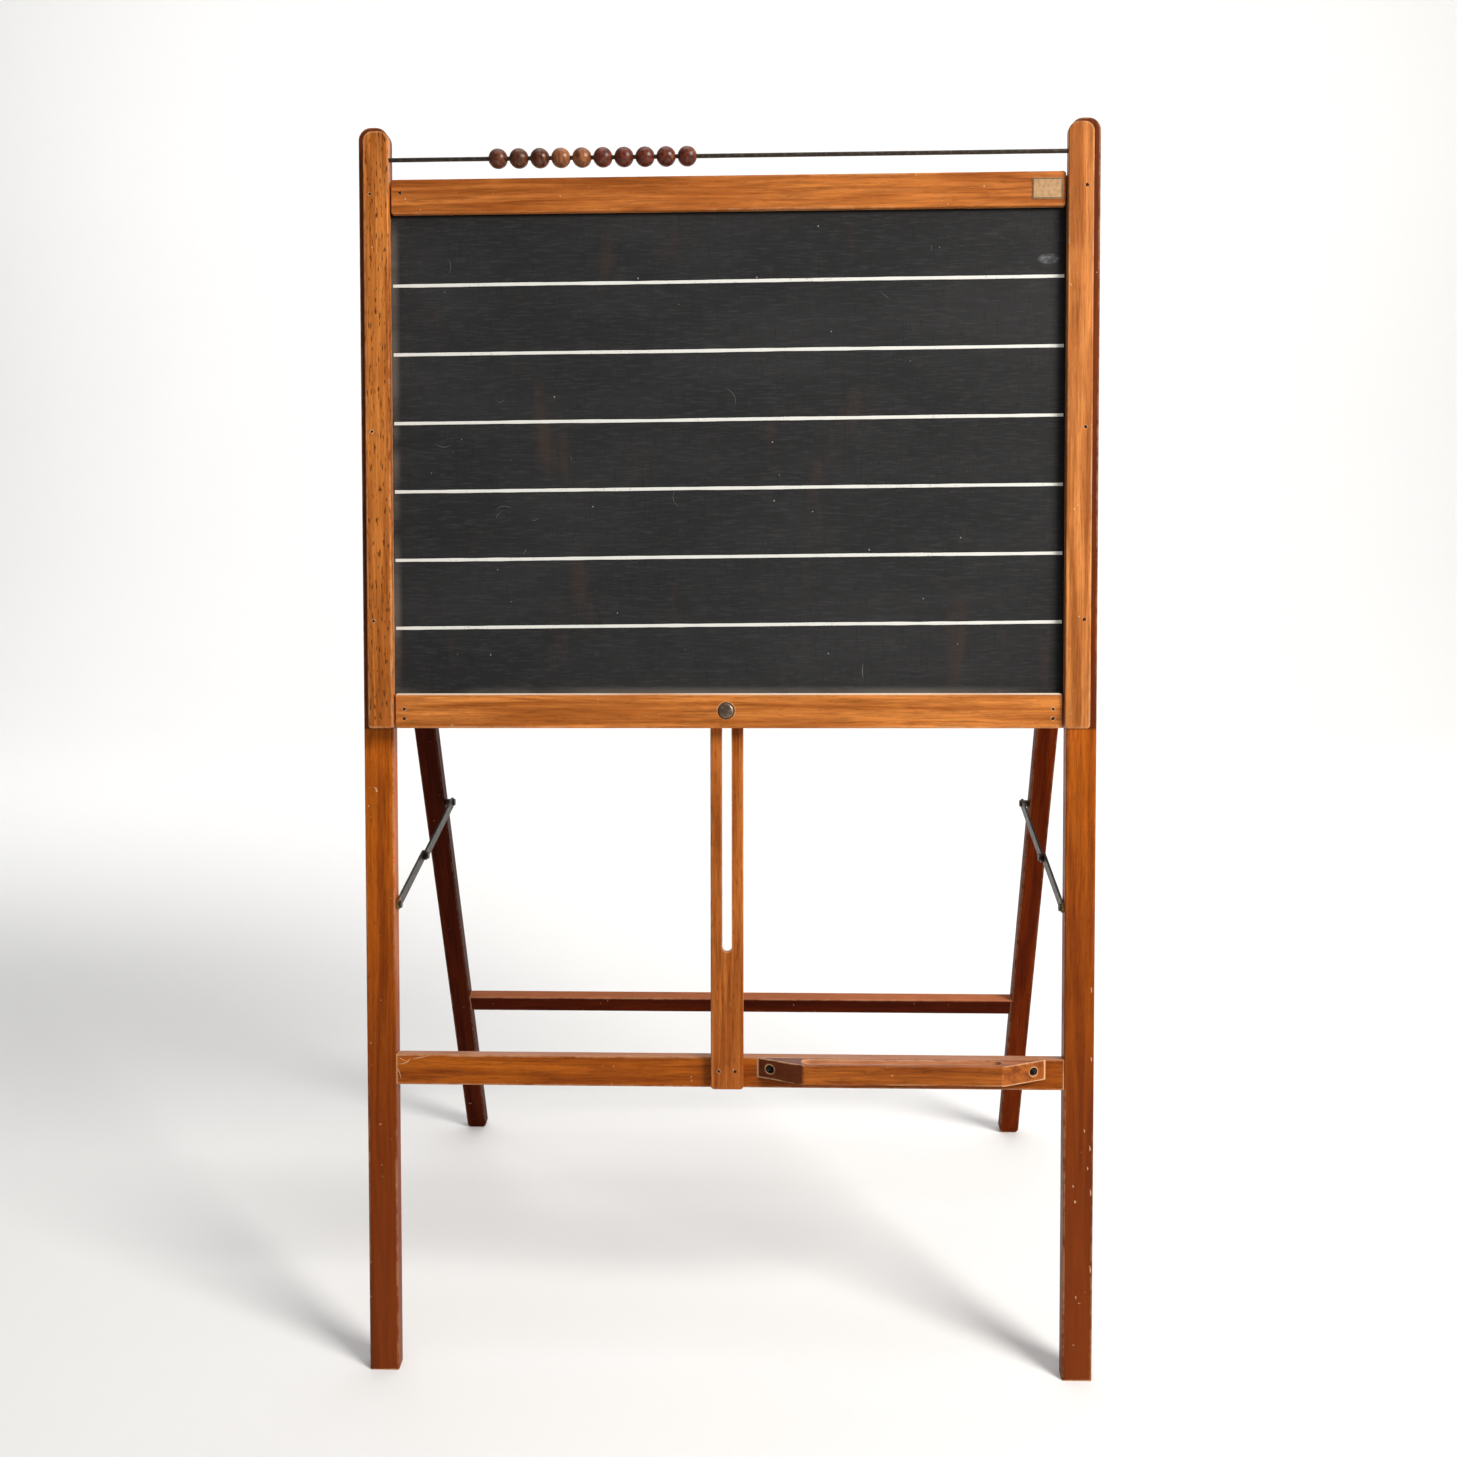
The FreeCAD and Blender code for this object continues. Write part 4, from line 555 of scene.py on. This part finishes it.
def blob(sheet, centre, size, height, seed):
    """A small flattened chalk speck on the board."""
    ring = 9
    lift = Vector((0, -height, 0))
    top = sheet.verts.new(centre + lift)
    low = sheet.verts.new(centre + Vector((0, 0.02 * MM, 0)))
    rim = []
    for step in range(ring):
        turn = 2 * math.pi * step / ring
        reach = size * (1 + 0.5 * noise.noise(Vector((math.cos(turn), math.sin(turn), seed))))
        rim.append(sheet.verts.new(centre + Vector((math.cos(turn) * reach, 0, math.sin(turn) * reach))))
    for step in range(ring):
        sheet.faces.new((top, rim[step], rim[(step + 1) % ring]))
        sheet.faces.new((low, rim[(step + 1) % ring], rim[step]))


def chalk_specks(sheet):
    """Stray specks of chalk dust."""
    for number in range(SPECK_COUNT):
        x = random.uniform(board_low.x + 0.03, board_high.x - 0.03)
        z = random.uniform(rail_high.z + 0.01, top_low.z - 0.01)
        blob(sheet, Vector((x, BOARD_FACE, z)), random.uniform(0.25, 0.75) * MM, 0.08 * MM, number)


def scratch(sheet, points, width, height):
    """A thin raised hairline bent through three points on a front face, tapering to its ends."""
    start, middle, finish = points
    rows = []
    for step in range(SCRATCH_STEPS + 1):
        share = step / SCRATCH_STEPS
        spot = (1 - share) ** 2 * start + 2 * share * (1 - share) * middle + share ** 2 * finish
        ahead = (1 - share) * (middle - start) + share * (finish - middle)
        side = ahead.normalized().cross(Vector((0, 1, 0)))
        half = width * (0.15 + math.sin(math.pi * share)) / 2
        half *= 1 + 0.5 * noise.noise(Vector((spot.x * 900, spot.z * 900, 1)))
        root = Vector((0, 0.02 * MM, 0))
        rows.append([sheet.verts.new(spot + side * half + root),
                     sheet.verts.new(spot + Vector((0, -height, 0))),
                     sheet.verts.new(spot - side * half + root)])
    for one, two in zip(rows, rows[1:]):
        for edge in range(3):
            sheet.faces.new((one[edge], one[(edge + 1) % 3], two[(edge + 1) % 3], two[edge]))
    sheet.faces.new(rows[0])
    sheet.faces.new(rows[-1])


def board_spot(x, z):
    return Vector((x, BOARD_FACE, z))


def scratches(sheet):
    """Hairline marks: an upright nick low on the right, and a few random curls."""
    height = top_low.z - rail_high.z
    x, z = board_high.x * 0.395, rail_high.z + 0.03 * height
    scratch(sheet, [board_spot(x, z), board_spot(x - 1.5 * MM, z + 6 * MM), board_spot(x, z + 13 * MM)],
            0.7 * MM, 0.06 * MM)
    for _ in range(SCRATCH_COUNT):
        x = random.uniform(-0.24, 0.24)
        z = rail_high.z + random.uniform(0.08, 0.92) * height
        turn = random.uniform(0, math.pi)
        bend = turn + random.uniform(-0.9, 0.9)
        reach = random.uniform(0.004, 0.020)
        scratch(sheet, [board_spot(x, z),
                        board_spot(x + math.cos(bend) * reach * 0.6, z + math.sin(bend) * reach * 0.6),
                        board_spot(x + math.cos(turn) * reach, z + math.sin(turn) * reach)],
                0.40 * MM, 0.05 * MM)


# Pale scuffs at the front stretcher's left end, in mm from its upper left corner.
STRETCHER_SCUFFS = (
    (((1, -8), (9, -9), (12.5, -2.5)), 0.9),
    (((14, -3.5), (19, -3), (27, -1.2)), 0.8),
    (((2, -2), (5, -5), (11, -6)), 0.5),
    (((0.8, -12), (3, -15), (4, -21)), 0.6),
)
# Pale knocks on the right leg, in mm: across from its outer edge, height, length.
LEG_KNOCKS = ((-3.2, 196, 5), (-5.0, 180, 3), (-2.4, 158, 6), (-17, 165, 2.5), (-3.0, 330, 5),
              (-2.2, 92, 7), (-8.0, 212, 3), (-2.6, 272, 4), (-14, 70, 3))


def stretcher_scuffs(sheet):
    low, high = local_box("front_stretcher")
    left = local_box("leg_left")[1].x
    for marks, width in STRETCHER_SCUFFS:
        spots = [Vector((left + x * MM, low.y, high.z + z * MM)) for x, z in marks]
        scratch(sheet, spots, width * MM, 0.1 * MM)


def leg_knocks(sheet):
    low, high = local_box("leg_right")
    for across, height, reach in LEG_KNOCKS:
        x = high.x + across * MM
        spots = [Vector((x + sway * MM, low.y, (height + reach * share) * MM))
                 for sway, share in ((0, 0), (0.8, 0.5), (-0.3, 1))]
        scratch(sheet, spots, 1.1 * MM, 0.1 * MM)


def nail_stains(names):
    """Dark rust stains over the heads of front-facing nails."""
    def build(sheet):
        number = 0
        for name in names:
            back = FRONT.inverted()
            spots = [back @ vertex.co for vertex in nodes[name].data.vertices]
            face = min(spot.y for spot in spots)
            heads = []
            for spot in spots:
                if spot.y < face + 0.2 * MM and all((spot - head).length > 4 * MM for head in heads):
                    heads.append(spot)
            for head in heads:
                ring = [spot for spot in spots if (spot - head).length < 2.5 * MM]
                centre = sum(ring, Vector()) / len(ring)
                number += 1
                blob(sheet, Vector((centre.x, face, centre.z)), random.uniform(1.1, 1.5) * MM,
                     0.07 * MM, number)

    return build


HEAD_RISE = 2.6 * MM
HEAD_RINGS, HEAD_SPOKES = 8, 32
SCREW_SEAT = 4.0 * MM
SLOT_TURNS = (0.5, 2.2)
SMALL_FACE = 1.5e-6
cutters = []


def slotted_heads():
    """Two domed screws at the places of the tray's screws, with a slot cutter for each."""
    heads = bmesh.new()
    low, high = local_box("tray_screws")
    radius = (high.z - low.z) / 2
    height = (low.z + high.z) / 2
    seat = local_box("chalk_tray")[1].y - SCREW_SEAT
    for x, turn in zip((low.x + radius, high.x - radius), SLOT_TURNS):
        rows = [(0.0, -HEAD_RISE)]
        for ring in range(1, HEAD_RINGS + 1):
            lean = math.pi / 2 * ring / HEAD_RINGS
            rows.append((radius * math.sin(lean), -HEAD_RISE * math.cos(lean)))
        rows += [(radius, 0.6 * MM), (1.6 * MM, 0.6 * MM),
                 (1.5 * MM, high.y - seat - 2 * MM), (0.0, high.y - seat)]
        verts = []
        for reach, depth in rows:
            row = []
            for step in range(1 if reach == 0 else HEAD_SPOKES):
                angle = 2 * math.pi * step / HEAD_SPOKES
                row.append(heads.verts.new((x + math.cos(angle) * reach, seat + depth,
                                            height + math.sin(angle) * reach)))
            verts.append(row)
        for one, two in zip(verts, verts[1:]):
            for step in range(HEAD_SPOKES):
                after = (step + 1) % HEAD_SPOKES
                ring = [one[step % len(one)], one[after % len(one)],
                        two[after % len(two)], two[step % len(two)]]
                heads.faces.new(list(dict.fromkeys(ring)))
        add_slot_cutter(Vector((x, seat - HEAD_RISE, height)), turn, radius)
    return heads


def add_slot_cutter(centre, turn, radius):
    """A bar that cuts a driver slot into a screw head."""
    sheet = bmesh.new()
    bmesh.ops.create_cube(sheet, size=1.0)
    shape = Matrix.Diagonal((radius * 2.4, 2.2 * MM, 1.1 * MM, 1.0))
    place = FRONT @ Matrix.Translation(centre) @ Matrix.Rotation(turn, 4, "Y") @ shape
    bmesh.ops.transform(sheet, matrix=place, verts=sheet.verts)
    data = bpy.data.meshes.new("slot_cutter")
    sheet.to_mesh(data)
    sheet.free()
    cutters.append(data)


def add_tray_screws(material):
    """The screws with their slots cut, standing for the CAD screws."""
    sheet = slotted_heads()
    bmesh.ops.recalc_face_normals(sheet, faces=sheet.faces)
    bmesh.ops.transform(sheet, matrix=FRONT, verts=sheet.verts)
    data = bpy.data.meshes.new("tray_slotted_screws")
    sheet.to_mesh(data)
    sheet.free()
    piece = bpy.data.objects.new("tray_slotted_screws", data)
    bpy.context.scene.collection.objects.link(piece)
    tools = []
    for cutter in cutters:
        tool = bpy.data.objects.new("slot_cutter", cutter)
        bpy.context.scene.collection.objects.link(tool)
        trim = piece.modifiers.new("slot", "BOOLEAN")
        trim.operation = "DIFFERENCE"
        trim.solver = "EXACT"
        trim.object = tool
        tools.append(tool)
    bpy.context.view_layer.update()
    shaped = bpy.data.meshes.new_from_object(piece.evaluated_get(bpy.context.evaluated_depsgraph_get()))
    piece.modifiers.clear()
    piece.data = shaped
    for tool in tools:
        bpy.data.objects.remove(tool)
    for face in shaped.polygons:
        face.use_smooth = face.normal.length > 0 and face.area < SMALL_FACE
    paint(piece, material)
    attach(piece, "front_frame")
    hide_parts("tray_screws")


def plate_rim(sheet):
    """A raised frame round the blank plate."""
    low, high = local_box("label_plate")
    inset, rise = 1.1 * MM, 0.18 * MM
    loops = []
    for shrink, lift in ((0.15 * MM, 0.0), (0.3 * MM, rise), (inset, rise), (inset + 0.15 * MM, 0.0)):
        y = low.y - lift + 0.01 * MM
        loops.append([sheet.verts.new((x, y, z)) for x, z in (
            (low.x + shrink, low.z + shrink), (high.x - shrink, low.z + shrink),
            (high.x - shrink, high.z - shrink), (low.x + shrink, high.z - shrink))])
    for one, two in zip(loops, loops[1:] + loops[:1]):
        for step in range(4):
            sheet.faces.new((one[step], one[(step + 1) % 4], two[(step + 1) % 4], two[step]))


def build_pieces():
    white = line_paint()
    chalk = line_paint("chalk_dust", (0.30, 0.30, 0.29), (0.12, 0.12, 0.12))
    grey = line_paint("scratch_grey", (0.13, 0.13, 0.125), (0.06, 0.06, 0.06))
    for number in range(1, LINE_COUNT + 1):
        new_piece("ruled_line_%d" % number, painted_line(number), white, "board",
                  smooth=False)
    new_piece("chalk_specks", chalk_specks, chalk, "board")
    new_piece("board_scratches", scratches, grey, "board")
    rim = metal("plate_rim", (0.10, 0.06, 0.03), (0.30, 0.20, 0.10), rough=0.4, metallic=0.5)
    new_piece("label_plate_rim", plate_rim, rim, "board", smooth=False)
    scuff = line_paint("bare_scuff", (0.62, 0.36, 0.20), (0.40, 0.19, 0.09))
    new_piece("stretcher_scuffs", stretcher_scuffs, scuff, "front_frame")
    new_piece("leg_knocks", leg_knocks, scuff, "front_frame")
    stain = line_paint("nail_stain", (0.020, 0.009, 0.005), (0.050, 0.020, 0.009))
    new_piece("frame_nail_stains", nail_stains(["stile_nails", "bar_brads"]), stain, "front_frame")
    new_piece("board_nail_stains", nail_stains(["board_nails"]), stain, "board")
    add_tray_screws(metal("screw_steel", (0.016, 0.012, 0.010), (0.10, 0.080, 0.062), rough=0.34,
                          metallic=0.8))


# ---------------------------------------------------------------- stage

FLOOR_COLOUR = (0.86, 0.855, 0.845)
FLOOR_WIDTH, FLOOR_FRONT, FLOOR_BACK = 7.0, -4.0, 3.0
BACKDROP_HEIGHT, BACKDROP_BEND, BEND_STEPS = 4.5, 1.2, 12
WORLD_COLOUR = (0.95, 0.97, 1.0, 1.0)
WORLD_STRENGTH = 0.24


def add_floor():
    """A pale floor that curves up into a backdrop far behind the easel."""
    shade = Shader("studio_floor")
    soft = shade.noise(shade.place(), 3.0, detail=2.0)
    colour = shade.mix(soft, FLOOR_COLOUR, [part * 0.985 for part in FLOOR_COLOUR])
    material = shade.finish(Base_Color=colour, Roughness=0.75)
    start = FLOOR_BACK - BACKDROP_BEND
    profile = [(FLOOR_FRONT, 0.0), (start, 0.0)]
    for step in range(1, BEND_STEPS + 1):
        turn = math.pi / 2 * step / BEND_STEPS
        profile.append((start + BACKDROP_BEND * math.sin(turn),
                        BACKDROP_BEND - BACKDROP_BEND * math.cos(turn)))
    profile.append((FLOOR_BACK, BACKDROP_HEIGHT))
    data = bpy.data.meshes.new("studio_floor")
    spots = [(x, y, z) for y, z in profile for x in (-FLOOR_WIDTH, FLOOR_WIDTH)]
    faces = [(2 * i, 2 * i + 1, 2 * i + 3, 2 * i + 2) for i in range(len(profile) - 1)]
    data.from_pydata(spots, [], faces)
    for face in data.polygons:
        face.use_smooth = True
    data.materials.append(material)
    floor = bpy.data.objects.new("studio_floor", data)
    bpy.context.scene.collection.objects.link(floor)


def add_light(name, place, target, size, power, colour=(1, 1, 1)):
    data = bpy.data.lights.new(name, "AREA")
    data.shape = "DISK"
    data.size = size
    data.energy = power
    data.color = colour
    lamp = bpy.data.objects.new(name, data)
    lamp.location = place
    lamp.rotation_euler = (Vector(target) - Vector(place)).to_track_quat("-Z", "Y").to_euler()
    bpy.context.scene.collection.objects.link(lamp)


def add_stage():
    add_floor()
    middle = (0, 0, 0.6)
    add_light("key", (1.95, -1.35, 2.15), middle, 1.15, 97.0, (1.0, 0.97, 0.93))
    add_light("floor_wash", (0.0, 0.6, 3.2), (0, 0.6, 0), 2.6, 34.0)
    add_light("backdrop_left", (-1.6, 0.9, 1.6), (-0.9, 3.0, 1.0), 1.2, 20.0)
    add_light("backdrop_right", (1.6, 0.9, 1.6), (0.9, 3.0, 1.0), 1.2, 13.0)
    world = bpy.data.worlds.new("studio")
    world.use_nodes = True
    background = world.node_tree.nodes["Background"]
    background.inputs[0].default_value = WORLD_COLOUR
    background.inputs[1].default_value = WORLD_STRENGTH
    bpy.context.scene.world = world
    bpy.context.scene.view_settings.view_transform = "Standard"


dress_wood()
dress_rest()
build_pieces()
add_stage()
